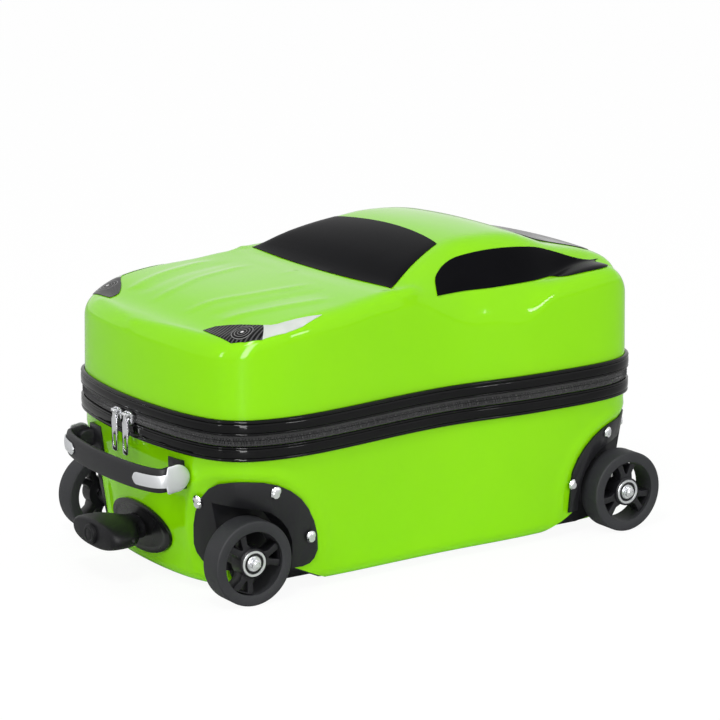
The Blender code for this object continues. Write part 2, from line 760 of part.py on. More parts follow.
def flange_outline(axle_x, outwards, radius, foot):
    """The side outline of a housing's flange. The front one has a level top and a rounded foot."""
    steps = 8
    rounding = 0.92 * (AXLE_HEIGHT - foot)
    shift, rise = REAR_FLANGE_SHIFT, ARCH_RISE
    points = [(-radius, foot)]
    if outwards < 0:
        shift, rise = 0.0, 0.0
        points = [(rounding - radius, foot), (0.5 * rounding - radius, foot + 0.15 * rounding),
                  (0.2 * rounding - radius, foot + 0.45 * rounding), (-radius, foot + rounding)]
    for i in range(steps + 1):
        angle = math.pi / 2 * i / steps
        points.append((-radius * math.cos(angle), AXLE_HEIGHT + radius * math.sin(angle)))
    points.append((REACH, AXLE_HEIGHT + radius + rise * REACH))
    points.append((REACH, foot))
    return [(axle_x + outwards * (x + shift), z) for x, z in points]


def flange_radius(outwards):
    """Radius of a housing's flange about the axle."""
    return ARCH_RADIUS + (REAR_FLANGE_WIDTH if outwards > 0 else FRONT_FLANGE_WIDTH)


def wall_place(x, y, z):
    """The point of the tub's faceted wall nearest to a place, and the outward normal of its facet."""
    low, high = tub_ring(0, z, z), tub_ring(0, z + 0.01, z + 0.01)
    found = []
    for i, start in enumerate(low):
        j = (i + 1) % len(low)
        run = low[j] - start
        share = min(max((Vector((x, y, z)) - start).dot(run) / run.length_squared, 0.0), 1.0)
        point = start + run * share
        above = high[i] + (high[j] - high[i]) * share
        found.append(((point - Vector((x, y, z))).length, i, point, run.cross(above - point).normalized()))
    return min(found)[2:]


def rivet_places(outwards, side):
    """Point on the tub's wall and outward normal of each rivet of one housing."""
    axle_x = outwards * WHEELBASE / 2
    places = []
    ring, angles, height = FRONT_RIVET_RING, FRONT_RIVET_ANGLES, FRONT_RIVET_CORNER_HEIGHT
    if outwards > 0:
        ring, angles, height = REAR_RIVET_RING, REAR_RIVET_ANGLES, REAR_RIVET_CORNER_HEIGHT
    for angle in angles:
        turn = math.radians(angle)
        x = axle_x - outwards * ring * math.cos(turn)
        z = AXLE_HEIGHT + ring * math.sin(turn)
        places.append((x, side * half_width(x), z))
    places.append((CASE_REAR if outwards > 0 else -CASE_FRONT, side * (POCKET_Y - RIVET_CORNER_INSET), height))
    return [wall_place(*place) for place in places]


def wall_patch(outwards, side, beyond, heights):
    """An open strip of the tub's wall round one corner of the case."""
    start = outwards * (WHEELBASE / 2 - flange_radius(outwards) - 0.012)
    inner = POCKET_Y - FRONT_FLANGE_END_WIDTH - 0.025
    chosen = [i for i, (p, _) in enumerate(BELT) if p.x * outwards > start * outwards and p.y * side > inner]
    chosen.sort()
    rows = []
    for z in heights:
        ring = tub_ring(beyond, z, z)
        rows.append([ring[i] for i in chosen])
    return loft(rows)


def make_tub():
    rim = SEAM_HEIGHT - TAPE_WIDTH - 2 * GAP
    shell = piece("lower_shell", loft(tub_rows(0, FLOOR_HEIGHT, rim), around=True), SHELL_GREEN)
    thicken(shell, SHELL_WALL, outwards=False)
    make_binding("lower_binding", BELT_BOTTOM, rim)
    make_tape("lower_zip_tape", SEAM_HEIGHT - TAPE_WIDTH - GAP, SEAM_HEIGHT - GAP)

    inset = -SHELL_WALL - LINING_CLEARANCE
    outside = tub_rows(inset, LINING_FLOOR_HEIGHT, LINING_RIM_HEIGHT, 1, LINING_BELT)
    lining = piece("lower_lining", filled(outside), LINING_GREY)
    inside = tub_rows(inset - LINING_THICKNESS, LINING_FLOOR_HEIGHT + LINING_THICKNESS,
                      SEAM_HEIGHT + 0.02, 1, LINING_BELT)
    hollow = cutter("lining_hollow", filled(inside))
    under = tub_rows(-GAP, FLOOR_HEIGHT + GAP, FLANGE_FOOT_HEIGHT)
    joined = GAP + FLANGE_THICKNESS * 0.75
    outer_face = cutter("housing_outer_face", filled(
        under + [tub_ring(joined, z, z) for z in (FLANGE_FOOT_HEIGHT, BELT_BOTTOM)]))
    for outwards, end in ((-1, "front"), (1, "rear")):
        for side, flank in ((-1, "near"), (1, "far")):
            make_housing(f"{end}_{flank}", outwards, side, shell, lining, hollow, outer_face)
    boolean(lining, hollow, "DIFFERENCE")


def flange_cutters(label, axle_x, outwards, side, inset):
    """Prisms along Y and along X whose overlap bounds the flange in the side and the end view.

    With an inset they bound the strip behind it, which keeps its full height round the corner."""
    foot = FLANGE_FOOT_HEIGHT + inset
    radius = flange_radius(outwards) - inset
    outline = flange_outline(axle_x, outwards, radius, foot)
    along_y = cutter(f"{label}_flange_side", side_prism(outline, side * 0.05, side * REACH))
    if outwards > 0:
        inner = POCKET_Y - REAR_FLANGE_END_WIDTH + inset
        top = AXLE_HEIGHT + radius + 0.008
        edge = [(REACH, -0.01), (inner + 0.016, -0.01), (inner + 0.010, 0.5 * top), (inner, 0.62 * top),
                (inner, 0.82 * top), (inner + 0.005, 0.91 * top), (inner + 0.018, top), (REACH, top)]
    else:
        inner = POCKET_Y - FRONT_FLANGE_END_WIDTH + inset
        top = AXLE_HEIGHT + radius
        edge = [(REACH, foot), (inner + 0.010, foot), (inner + 0.0045, 0.28 * top),
                (inner + 0.001, 0.34 * top), (inner, 0.41 * top), (inner + 0.003, 0.58 * top),
                (inner + 0.0075, 0.70 * top),
                (inner + 0.015, 0.83 * top), (inner + 0.024, 0.925 * top), (inner + 0.033, 0.977 * top),
                (inner + 0.043, top), (REACH, top)]
    if inset:
        edge = [(REACH, foot), (inner + 0.010, foot), (inner, 0.41 * top), (inner, top), (REACH, top)]
    rows = [[Vector((x, side * y, z)) for y, z in edge] for x in (0, outwards * 2 * CASE_FRONT)]
    return along_y, cutter(f"{label}_flange_end", capped(rows))


def make_housing(label, outwards, side, shell, lining, hollow, outer_face):
    """One wheel's pocket and flange, its backing strip with rivets, and the cuts that they need."""
    axle_x = outwards * WHEELBASE / 2
    far = side * REACH
    pocket_face = POCKET_Y - HOUSING_WALL

    def arch(name, radius, face, foot=-0.02):
        outline = arch_outline(axle_x, outwards, radius, foot)
        return cutter(f"{label}_{name}", side_prism(outline, side * face, far))

    pocket = arch("pocket", ARCH_RADIUS + HOUSING_WALL, pocket_face)
    opening = arch("opening", ARCH_RADIUS + HOUSING_WALL + GAP, pocket_face - GAP, foot=-0.03)
    around = arch("around_pocket", ARCH_RADIUS + HOUSING_WALL + POCKET_CLEARANCE,
                  pocket_face - POCKET_CLEARANCE, foot=-0.04)
    further = POCKET_CLEARANCE + LINING_THICKNESS
    inside = arch("inside_lining", ARCH_RADIUS + HOUSING_WALL + further, pocket_face - further, foot=-0.05)
    boolean(pocket, outer_face, "INTERSECT")
    boolean(shell, opening, "DIFFERENCE")
    boolean(lining, around, "DIFFERENCE")
    boolean(hollow, inside, "DIFFERENCE")

    heights = (FLOOR_HEIGHT + FLOOR_RADIUS, BELT_BOTTOM)
    housing = piece(f"wheel_housing_{label}", wall_patch(outwards, side, GAP, heights), MATT_BLACK)
    thicken(housing, FLANGE_THICKNESS, outwards=True)
    for flange_cut in flange_cutters(label, axle_x, outwards, side, 0.0):
        boolean(housing, flange_cut, "INTERSECT")
    boolean(housing, pocket, "UNION")
    boolean(housing, arch("well", ARCH_RADIUS, POCKET_Y, foot=-0.06), "DIFFERENCE")
    axle_y = side * (TRACK - WHEEL_WIDTH) / 2
    boss = rod(AXLE_DIAMETER, (axle_x, side * (pocket_face + HOUSING_WALL / 2), AXLE_HEIGHT),
               (axle_x, axle_y - side * RUNNING_GAP, AXLE_HEIGHT), 12)
    bore = rod(AXLE_DIAMETER / 2 + GAP, (axle_x, side * (pocket_face - 0.01), AXLE_HEIGHT),
               (axle_x, axle_y, AXLE_HEIGHT), 12)
    boolean(housing, cutter(f"{label}_boss", boss), "UNION")
    boolean(housing, cutter(f"{label}_bore", bore), "DIFFERENCE")

    strip_offset = -SHELL_WALL - STRIP_CLEARANCE - STRIP_THICKNESS
    strip = piece(f"rivet_strip_{label}", wall_patch(outwards, side, strip_offset, heights), BRIGHT_METAL)
    thicken(strip, STRIP_THICKNESS, outwards=True)
    along_y, along_x = flange_cutters(f"{label}_strip", axle_x, outwards, side, STRIP_MARGIN)
    room = arch("strip_room", ARCH_RADIUS + HOUSING_WALL + POCKET_CLEARANCE,
                pocket_face - POCKET_CLEARANCE, foot=-0.055)
    boolean(along_y, room, "DIFFERENCE")
    boolean(strip, along_y, "INTERSECT")
    boolean(strip, along_x, "INTERSECT")
    rivets, holes = bmesh.new(), bmesh.new()
    for place, normal in rivet_places(outwards, side):
        depth = SHELL_WALL + STRIP_CLEARANCE + STRIP_THICKNESS / 2
        face = GAP + FLANGE_THICKNESS + RIVET_HEAD_GAP
        stacked([(RIVET_RADIUS, -depth), (RIVET_RADIUS, face), (RIVET_HEAD_RADIUS, face),
                 (RIVET_HEAD_RADIUS * 0.7, face + RIVET_HEAD_HEIGHT)], place, normal, 8, rivets)
        stacked([(RIVET_RADIUS + GAP, -2 * SHELL_WALL), (RIVET_RADIUS + GAP, 2 * face)],
                place, normal, 8, holes)
    rivet_set = cutter(f"{label}_rivets", rivets)
    hole_set = cutter(f"{label}_rivet_holes", holes)
    boolean(strip, rivet_set, "UNION")
    boolean(housing, hole_set, "DIFFERENCE")
    boolean(shell, hole_set, "DIFFERENCE")


# Wheels

def make_wheel(label, outwards, side):
    """Tyre, hub with spokes, bearing and axle bolt of one wheel."""
    centre = Vector((outwards * WHEELBASE / 2, side * TRACK / 2, AXLE_HEIGHT))
    axle = axis_empty(f"axle_{label}", centre)
    half, seat = WHEEL_WIDTH / 2, HUB_DIAMETER / 2
    round_off = TREAD_EDGE
    tread = [(seat, -half), (WHEEL_RADIUS - round_off, -half), (WHEEL_RADIUS, -half + round_off),
             (WHEEL_RADIUS, half - round_off), (WHEEL_RADIUS - round_off, half), (seat, half)]
    piece(f"tyre_{label}", ring_about_y(tread, centre, WHEEL_SIDES, side), RUBBER_BLACK, axle)

    rim_outer, rim_inner = seat - GAP, seat - GAP - RIM_THICKNESS
    bearing_radius = BEARING_DIAMETER / 2
    boss = bearing_radius + 0.0028
    web = WEB_THICKNESS / 2
    pocket = half - BEARING_WIDTH - GAP
    bore = AXLE_DIAMETER / 2 + RUNNING_GAP
    section = [(rim_outer, -half + 0.0005), (rim_outer, half - 0.0005), (rim_inner, half - 0.0005),
               (rim_inner - 0.001, web), (boss, web), (boss - 0.001, half), (bearing_radius + GAP, half),
               (bearing_radius + GAP, pocket), (bore, pocket), (bore, -web),
               (rim_inner - 0.001, -web), (rim_inner, -half + 0.0005)]
    hub = piece(f"hub_{label}", ring_about_y(section, centre, WHEEL_SIDES, side), MATT_BLACK, axle)
    windows = bmesh.new()
    for k in range(SPOKES):
        turn = FRONT_SPOKE_TURN if outwards < 0 else 0
        side_prism(window_outline(centre, boss + 0.0015, rim_inner - 0.0016, k, turn),
                   centre.y - half, centre.y + half, windows)
    boolean(hub, cutter(f"{label}_hub_windows", windows), "DIFFERENCE")

    bearing = [(bearing_radius, half - BEARING_WIDTH), (bearing_radius, half - 0.0004),
               (AXLE_DIAMETER / 2 + GAP, half - 0.0004), (AXLE_DIAMETER / 2 + GAP, half - BEARING_WIDTH)]
    piece(f"bearing_{label}", ring_about_y(bearing, centre, 16, side), BRIGHT_METAL, axle)

    head = half - 0.0004 + GAP
    inner = POCKET_Y - HOUSING_WALL - TRACK / 2
    shank = AXLE_DIAMETER / 2
    step = head + BOLT_HEAD_HEIGHT * 0.7
    profile = [(shank, inner), (shank, head), (BOLT_HEAD_WIDTH / 2, head), (BOLT_HEAD_WIDTH / 2, step),
               (shank * 0.8, step), (shank * 0.7, head + BOLT_HEAD_HEIGHT)]
    bolt = stacked(profile, centre, (0, side, 0), 12)
    piece(f"axle_bolt_{label}", bolt, BRIGHT_METAL)


def window_outline(centre, inner, outer, index, turn):
    """The opening between two spokes, in the side view, with the wheel turned by some degrees."""
    middle = math.radians(90 + 60 + turn) + 2 * math.pi * index / SPOKES
    wide, narrow = math.radians(44), math.radians(24)
    points = []
    for radius, reach, steps in ((outer, wide, 3), (inner, narrow, 1)):
        angles = [middle - reach + 2 * reach * i / steps for i in range(steps + 1)]
        ring = [(centre.x + radius * math.cos(a), centre.z + radius * math.sin(a)) for a in angles]
        points += ring if radius == outer else ring[::-1]
    return points


# Carry handle

def handle_pivot():
    wall, _ = wall_place(-CASE_FRONT, -HANDLE_PIVOT_Y, HANDLE_PIVOT_HEIGHT)
    return Vector((wall.x - HANDLE_PIVOT_OFFSET, 0, HANDLE_PIVOT_HEIGHT))


HANDLE_PIVOT = handle_pivot()


def handle_stations():
    """Point and outward heading along the handle, from the near pivot round to the far one."""
    steps = 16
    half, straight = HANDLE_SPAN / 2, HANDLE_HEIGHT / 2
    reach = HANDLE_REACH - HANDLE_THICKNESS / 2
    points = [Vector((0, -half, 0))]
    for i in range(steps + 1):
        turn = math.pi * (i / steps - 0.5)
        forwards = straight + (reach - straight) * math.cos(turn)
        points.append(Vector((-forwards, half * math.sin(turn), -HANDLE_DROOP * forwards / reach)))
    points.append(Vector((0, half, 0)))
    stations = []
    for i, point in enumerate(points):
        if i < 2 or i > len(points) - 3:
            heading = Vector((0, -1 if i < 2 else 1, 0))
        else:
            ahead = points[i + 1] - points[i - 1]
            heading = Vector((-ahead.y, ahead.x, 0)).normalized()
        stations.append((HANDLE_PIVOT + point, heading))
    return stations


def handle_band(stations, section):
    """A band along part of the handle. section lists each corner's distance outwards and upwards."""
    rows = []
    for here, heading in stations:
        rows.append([here + heading * out + Vector((0, 0, up)) for out, up in section])
    return capped(rows)


def rounded_section(low, high, half_height, round_off):
    straight = half_height - round_off
    return [(low, -straight), (low + round_off, -half_height), (high - round_off, -half_height),
            (high, -straight), (high, straight), (high - round_off, half_height),
            (low + round_off, half_height), (low, straight)]


def make_handle():
    axis = axis_empty("handle_axis", HANDLE_PIVOT)
    half = HANDLE_THICKNESS / 2
    stations = handle_stations()
    section = rounded_section(-half, half, HANDLE_HEIGHT / 2, STRAP_ROUNDING)
    strap = piece("carry_strap", handle_band(stations, section), RUBBER_BLACK, axis)
    for side, flank in ((-1, "near"), (1, "far")):
        end_y = side * HANDLE_PIVOT_Y
        x, z = HANDLE_PIVOT.x, HANDLE_PIVOT.z
        eye = rod(HANDLE_HEIGHT / 2, (x, end_y - half, z), (x, end_y + half, z), 16)
        hole = rod(HANDLE_PIN_RADIUS + GAP, (x, end_y - 0.01, z), (x, end_y + 0.01, z), 12)
        boolean(strap, cutter(f"strap_eye_{flank}", eye), "UNION")
        boolean(strap, cutter(f"strap_hole_{flank}", hole), "DIFFERENCE")

        low, high = half + GAP, half + GAP + INSERT_THICKNESS
        covered = stations[:INSERT_STATIONS] if side < 0 else stations[-INSERT_STATIONS:]
        tongue = handle_band(covered, [(low, -INSERT_WIDTH / 2), (high, -INSERT_WIDTH / 2),
                                       (high, INSERT_WIDTH / 2), (low, INSERT_WIDTH / 2)])
        insert = piece(f"handle_insert_{flank}", tongue, SATIN_SILVER, axis)
        head = cutter(f"insert_head_{flank}", rod(INSERT_HEAD_RADIUS, (x, end_y + side * low, z),
                                                  (x, end_y + side * (high + 0.0004), z), 20))
        boolean(insert, head, "UNION")
        make_handle_mount(flank, side)


def make_handle_mount(flank, side):
    """Base on the tub's front with a lug and a pin that carry one end of the handle."""
    x, z = HANDLE_PIVOT.x, HANDLE_PIVOT.z
    outer = HANDLE_PIVOT_Y - HANDLE_THICKNESS / 2 - GAP
    lug_inner = outer - MOUNT_LUG_THICKNESS
    half = MOUNT_HEIGHT / 2
    base = side_prism([(x + MOUNT_LUG_RADIUS, z - half), (x + 0.020, z - half), (x + 0.020, z + half),
                       (x + MOUNT_LUG_RADIUS, z + half)], side * (outer - MOUNT_WIDTH), side * outer)
    mount = piece(f"handle_mount_{flank}", base, MATT_BLACK)
    nose = [(x - MOUNT_LUG_RADIUS * math.cos(a), z + MOUNT_LUG_RADIUS * math.sin(a))
            for a in (math.radians(90 - 22.5 * k) for k in range(9))]
    lug = cutter(f"mount_lug_{flank}", side_prism(
        [(x + 0.018, nose[0][1]), *nose, (x + 0.018, nose[-1][1])], side * lug_inner, side * (outer - MERGE)))
    wall = cutter(f"mount_wall_{flank}", filled(tub_rows(GAP, FLOOR_HEIGHT, SEAM_HEIGHT)))
    pin = cutter(f"mount_pin_{flank}", rod(HANDLE_PIN_RADIUS, (x, side * (outer - 0.004), z),
                                           (x, side * (HANDLE_PIVOT_Y + HANDLE_THICKNESS / 2), z), 12))
    boolean(mount, lug, "UNION")
    boolean(mount, wall, "DIFFERENCE")
    boolean(mount, pin, "UNION")


# Pull rod

def rod_wall():
    """X of the tub's front wall at the pull rod."""
    return -CASE_FRONT - tub_offset(Vector((-CASE_FRONT, 0)), ROD_HEIGHT)


def plate_face():
    """X of the outer face of the pull rod's plate at its middle."""
    return rod_wall() - GAP - PLATE_THICKNESS


def make_rod(shell):
    z = ROD_HEIGHT
    wall = rod_wall()
    face = plate_face()
    heights = (FLOOR_HEIGHT + FLOOR_RADIUS, z + PLATE_HEIGHT)
    chosen = [i for i, (p, _) in enumerate(BELT) if p.x < 0 and abs(p.y) < PLATE_LENGTH / 2 + 0.03]
    chosen.sort(key=lambda i: -BELT[i][0].y)
    rows = []
    for height in heights:
        ring = tub_ring(GAP, height, height)
        rows.append([ring[i] for i in chosen])
    plate = piece("rod_plate", loft(rows), GLOSS_BLACK)
    thicken(plate, PLATE_THICKNESS, outwards=True)
    turns = [2 * math.pi * i / 28 for i in range(28)]
    oval = [(PLATE_LENGTH / 2 * math.cos(a), z + PLATE_HEIGHT / 2 * math.sin(a)) for a in turns]
    prism = capped([[Vector((x, y, up)) for y, up in oval] for x in (wall - 0.02, wall + 0.02)])
    boolean(plate, cutter("plate_edge", prism), "INTERSECT")
    hole = cutter("plate_hole", rod(MIDDLE_TUBE_RADIUS + GAP, (wall - 0.02, 0, z), (wall + 0.02, 0, z), 20))
    boolean(plate, hole, "DIFFERENCE")
    shell_hole = rod(OUTER_TUBE_RADIUS + GAP, (wall - 0.01, 0, z), (wall + 0.02, 0, z), 20)
    boolean(shell, cutter("rod_hole", shell_hole), "DIFFERENCE")

    back = wall + SHELL_WALL - GAP
    outer_end = back + OUTER_TUBE_LENGTH
    tube = tube_along_x(OUTER_TUBE_RADIUS, OUTER_TUBE_RADIUS - TUBE_WALL, back, outer_end, z)
    piece("rod_outer_tube", tube, ROD_STEEL)
    make_bracket(outer_end, z)

    middle = axis_empty("rod_middle_axis", (face, 0, z))
    middle_end = face + MIDDLE_TUBE_LENGTH
    tube = tube_along_x(MIDDLE_TUBE_RADIUS, MIDDLE_TUBE_RADIUS - TUBE_WALL, face, middle_end, z)
    piece("rod_middle_tube", tube, ROD_STEEL, middle)
    bush(OUTER_TUBE_RADIUS - TUBE_WALL - GAP, middle_end + GAP, "middle_tube_bush", middle)

    inner = axis_empty("rod_inner_axis", (face, 0, z))
    grip_back = face - GRIP_STANDOFF
    grip_front = grip_back - GRIP_LENGTH
    socket = grip_front + GRIP_SOCKET_DEPTH
    inner_end = socket + INNER_TUBE_LENGTH
    tube = tube_along_x(INNER_TUBE_RADIUS, INNER_TUBE_RADIUS - TUBE_WALL, socket + GAP, inner_end, z)
    piece("rod_inner_tube", tube, ROD_STEEL, inner)
    bush(MIDDLE_TUBE_RADIUS - TUBE_WALL - GAP, inner_end + GAP, "inner_tube_bush", inner)
    make_grip(grip_back, grip_front, socket, inner)


def bush(radius, start, name, carrier):
    """The plastic plug behind a sliding tube, which guides it in the tube outside."""
    plug = rod(radius, (start, 0, ROD_HEIGHT), (start + BUSH_LENGTH, 0, ROD_HEIGHT), 20)
    piece(name, plug, MATT_BLACK, carrier)


def make_bracket(end, z):
    """Foot on the tub's floor that holds the rear end of the outer tube."""
    bottom = FLOOR_HEIGHT + SHELL_WALL + GAP
    top = z + OUTER_TUBE_RADIUS + 0.002
    half = BRACKET_WIDTH / 2
    start = end - BRACKET_THICKNESS
    post = OUTER_TUBE_RADIUS + 0.003
    profile = [(half, bottom), (half, bottom + 0.004), (post, bottom + 0.006), (post, top - 0.003),
               (OUTER_TUBE_RADIUS, top)]
    outline = profile + [(-y, up) for y, up in profile[::-1]]
    block = capped([[Vector((x, y, up)) for y, up in outline] for x in (start, end)])
    bracket = piece("rod_bracket", block, MATT_BLACK)
    hole = rod(OUTER_TUBE_RADIUS + GAP, (start - 0.01, 0, z), (end + 0.01, 0, z), 20)
    boolean(bracket, cutter("bracket_hole", hole), "DIFFERENCE")


def make_grip(back, front, socket, carrier):
    """Moulded cross grip with its push button, return spring and release rod."""
    z = ROD_HEIGHT
    sections = [(back, GRIP_NECK_WIDTH, GRIP_NECK_HEIGHT),
                (back - 0.16 * GRIP_LENGTH, GRIP_NECK_WIDTH * 1.06, GRIP_NECK_HEIGHT * 1.04),
                (back - 0.34 * GRIP_LENGTH, GRIP_WIDTH * 0.80, GRIP_HEIGHT * 0.93),
                (back - 0.50 * GRIP_LENGTH, GRIP_WIDTH * 0.97, GRIP_HEIGHT),
                (back - 0.78 * GRIP_LENGTH, GRIP_WIDTH, GRIP_HEIGHT),
                (back - 0.92 * GRIP_LENGTH, GRIP_WIDTH * 0.91, GRIP_HEIGHT * 0.98),
                (front, GRIP_WIDTH * 0.74, GRIP_HEIGHT * 0.88)]
    rows = []
    sides = 20
    for x, width, height in sections:
        ring = []
        for y, up in circle(1.0, sides):
            y, up = (math.copysign(abs(c) ** 0.86, c) for c in (y, up))
            ring.append(Vector((x, width / 2 * y, z + height / 2 * up)))
        rows.append(ring)
    grip = piece("pull_grip", capped(rows), MATT_BLACK, carrier)
    wall = front + BUTTON_LENGTH - BUTTON_PROUD + BUTTON_TRAVEL + 2 * SPRING_WIRE + 0.001
    holes = [
        ("button_hollow", BUTTON_RADIUS, front - 0.01, wall, 20),
        ("tube_socket", INNER_TUBE_RADIUS, socket, back + 0.01, 20),
        ("release_passage", RELEASE_ROD_RADIUS, front - 0.005, back + 0.005, 10),
    ]
    for name, radius, start, end, around in holes:
        boolean(grip, cutter(name, rod(radius + GAP, (start, 0, z), (end, 0, z), around)), "DIFFERENCE")

    button_axis = axis_empty("button_axis", (front - BUTTON_PROUD, 0, z))
    tip = front - BUTTON_PROUD
    profile = [(BUTTON_RADIUS, BUTTON_LENGTH), (BUTTON_RADIUS, 0.001), (BUTTON_RADIUS - 0.0015, 0),
               (0.006, 0), (0.0055, 0.0004)]
    piece("push_button", stacked(profile, (tip, 0, z), (1, 0, 0), 20), MATT_BLACK, button_axis)
    rod_start = tip + BUTTON_LENGTH + GAP
    wire = rod(RELEASE_ROD_RADIUS, (rod_start, 0, z), (rod_start + RELEASE_ROD_LENGTH, 0, z), 8)
    piece("release_rod", wire, ROD_STEEL, button_axis)
    make_spring(rod_start, wall - GAP, z, carrier)


def make_spring(start, end, z, carrier):
    """The coil spring that returns the button, as one wire with closed-in ends."""
    turns = SPRING_TURNS
    steps = 9 * turns
    wire = SPRING_WIRE / 2
    rows = []
    for i in range(steps + 1):
        angle = 2 * math.pi * turns * i / steps
        x = start + wire + (end - start - 2 * wire) * i / steps
        outward = Vector((0, math.cos(angle), math.sin(angle)))
        centre = Vector((x, 0, z)) + outward * SPRING_RADIUS
        rows.append([centre + outward * (wire * math.cos(a)) + Vector((wire * math.sin(a), 0, 0))
                     for a in (math.pi / 2 * k for k in range(4))])
    piece("button_spring", capped(rows), ROD_STEEL, carrier)


# Zip

def make_zip():
    """Hinge tape at the rear, and the two sliders with their pulls at the front."""
    chosen = [i for i, (p, _) in enumerate(BELT) if p.x > 0 and abs(p.y) < HINGE_TAPE_LENGTH / 2 + 0.02]
    chosen.sort(key=lambda i: BELT[i][0].y)
    offset = -TAPE_RECESS + GAP
    reach = TAPE_WIDTH
    rows = [[belt_ring(offset, z)[i] for i in chosen] for z in (SEAM_HEIGHT - reach, SEAM_HEIGHT + reach)]
    tape = piece("hinge_tape", loft(rows), TAPE_BLACK)
    thicken(tape, HINGE_TAPE_THICKNESS, outwards=True)
    half = HINGE_TAPE_LENGTH / 2
    ends = cutter("hinge_tape_ends", side_prism([(0, 0), (2 * CASE_REAR, 0), (2 * CASE_REAR, 2 * SEAM_HEIGHT),
                                                 (0, 2 * SEAM_HEIGHT)], -half, half))
    boolean(tape, ends, "INTERSECT")
    for side, flank in ((-1, "near"), (1, "far")):
        make_slider(flank, side * SLIDER_SPACING / 2)


def make_slider(flank, y):
    """One zip slider over the belt, with the pull that hangs from its bar."""
    face = -CASE_FRONT
    foot = face + TAPE_RECESS - GAP
    cap_back = face - GAP
    cap_front = cap_back - SLIDER_THICKNESS
    half = SLIDER_LENGTH / 2
    axis = axis_empty(f"slider_axis_{flank}", (cap_front, y, SEAM_HEIGHT))
    room = TAPE_WIDTH - GAP

    def block(x_start, x_end, half_y, low, high, narrow=0.0):
        inner = half_y - narrow
        outline = [(half_y, low), (half_y, high), (inner, high + narrow), (-inner, high + narrow),
                   (-half_y, high), (-half_y, low), (-inner, low - narrow), (inner, low - narrow)]
        return capped([[Vector((x, y + across, up)) for across, up in outline] for x in (x_start, x_end)])

    body = block(foot, cap_front + 0.0005, half - 0.001, SEAM_HEIGHT - room + 0.0005,
                 SEAM_HEIGHT + room - 0.0005, 0.0004)
    slider = piece(f"zip_slider_{flank}", body, BRIGHT_METAL, axis)
    low, high = SEAM_HEIGHT - SLIDER_HEIGHT / 2, SEAM_HEIGHT + SLIDER_HEIGHT / 2
    cap = block(cap_back, cap_front, half - 0.0015, low + 0.0015, high - 0.0015, 0.0015)
    boolean(slider, cutter(f"slider_cap_{flank}", cap), "UNION")
    bar_x = cap_front - 0.0024
    for lug_side in (-1, 1):
        lug_y = y + lug_side * (PULL_WIDTH / 2 - 0.0005)
        lug = cutter(f"slider_lug_{flank}_{'low' if lug_side < 0 else 'high'}", side_prism(
            [(cap_front + 0.0008, PULL_HEIGHT - 0.0035), (cap_front + 0.0008, PULL_HEIGHT + 0.0022),
             (bar_x - 0.0012, PULL_HEIGHT + 0.0012), (bar_x - 0.0012, PULL_HEIGHT - 0.0012)],
            lug_y - 0.0006, lug_y + 0.0006))
        boolean(slider, lug, "UNION")
    reach = PULL_WIDTH / 2 - 0.0004
    bar = rod(PULL_BAR_RADIUS, (bar_x, y - reach, PULL_HEIGHT), (bar_x, y + reach, PULL_HEIGHT), 8)
    boolean(slider, cutter(f"slider_bar_{flank}", bar), "UNION")
    make_pull(flank, bar_x, y)


def make_pull(flank, bar_x, y):
    """Flat tab that swings on the slider's bar, with an eye at the top and a slot at the foot."""
    axis = axis_empty(f"pull_axis_{flank}", (bar_x, y, PULL_HEIGHT))
    eye_half = PULL_WIDTH / 2 - 0.0016
    wide = PULL_WIDTH / 2
    foot = PULL_HEIGHT - PULL_LENGTH
    profile = [(eye_half, PULL_HEIGHT + 0.0018), (eye_half, PULL_HEIGHT - 0.0045),
               (wide, PULL_HEIGHT - 0.0075), (wide, foot + 0.0015), (wide - 0.0015, foot)]
    outline = profile + [(-across, up) for across, up in profile[::-1]]
    half = PULL_THICKNESS / 2
    rows = [[Vector((x, y + across, up)) for across, up in outline] for x in (bar_x - half, bar_x + half)]
    pull = piece(f"zip_pull_{flank}", capped(rows), SATIN_SILVER, axis)
    eye = rod(PULL_THICKNESS, (bar_x, y - eye_half, PULL_HEIGHT), (bar_x, y + eye_half, PULL_HEIGHT), 10)
    bore = rod(PULL_BAR_RADIUS + GAP, (bar_x, y - 0.01, PULL_HEIGHT), (bar_x, y + 0.01, PULL_HEIGHT), 8)
    boolean(pull, cutter(f"pull_eye_{flank}", eye), "UNION")
    boolean(pull, cutter(f"pull_bore_{flank}", bore), "DIFFERENCE")
    slot = capped([[Vector((x, y + across, foot + up)) for across, up in
                    ((0.0016, 0.004), (0.0022, 0.0055), (0.0022, 0.0125), (0.0016, 0.014),
                     (-0.0016, 0.014), (-0.0022, 0.0125), (-0.0022, 0.0055), (-0.0016, 0.004))]
                   for x in (bar_x - 0.005, bar_x + 0.005)])
    boolean(pull, cutter(f"pull_slot_{flank}", slot), "DIFFERENCE")


# The whole case

def build():
    hinge = axis_empty("lid_hinge", (CASE_REAR, 0, SEAM_HEIGHT))
    make_lid(hinge)
    make_tub()
    for outwards, end in ((-1, "front"), (1, "rear")):
        for side, flank in ((-1, "near"), (1, "far")):
            make_wheel(f"{end}_{flank}", outwards, side)
    make_handle()
    make_rod(bpy.data.objects["lower_shell"])
    make_zip()
    front = plate_face() - GRIP_STANDOFF - GRIP_LENGTH - BUTTON_PROUD
    FRAME.location.x = -(front + CASE_REAR) / 2


build()
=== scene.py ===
"""Looks of the car-shaped children's suitcase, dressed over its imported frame.

Shapes are laid out in the part's own layout, from the middle of the wheelbase, and each
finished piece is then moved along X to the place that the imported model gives.
"""

from __future__ import annotations

import json
import logging
import math
from collections.abc import Callable, Sequence
from dataclasses import dataclass, field
from enum import Enum

import bmesh
import bpy
import numpy as np
from mathutils import Matrix, Vector
from mathutils.bvhtree import BVHTree


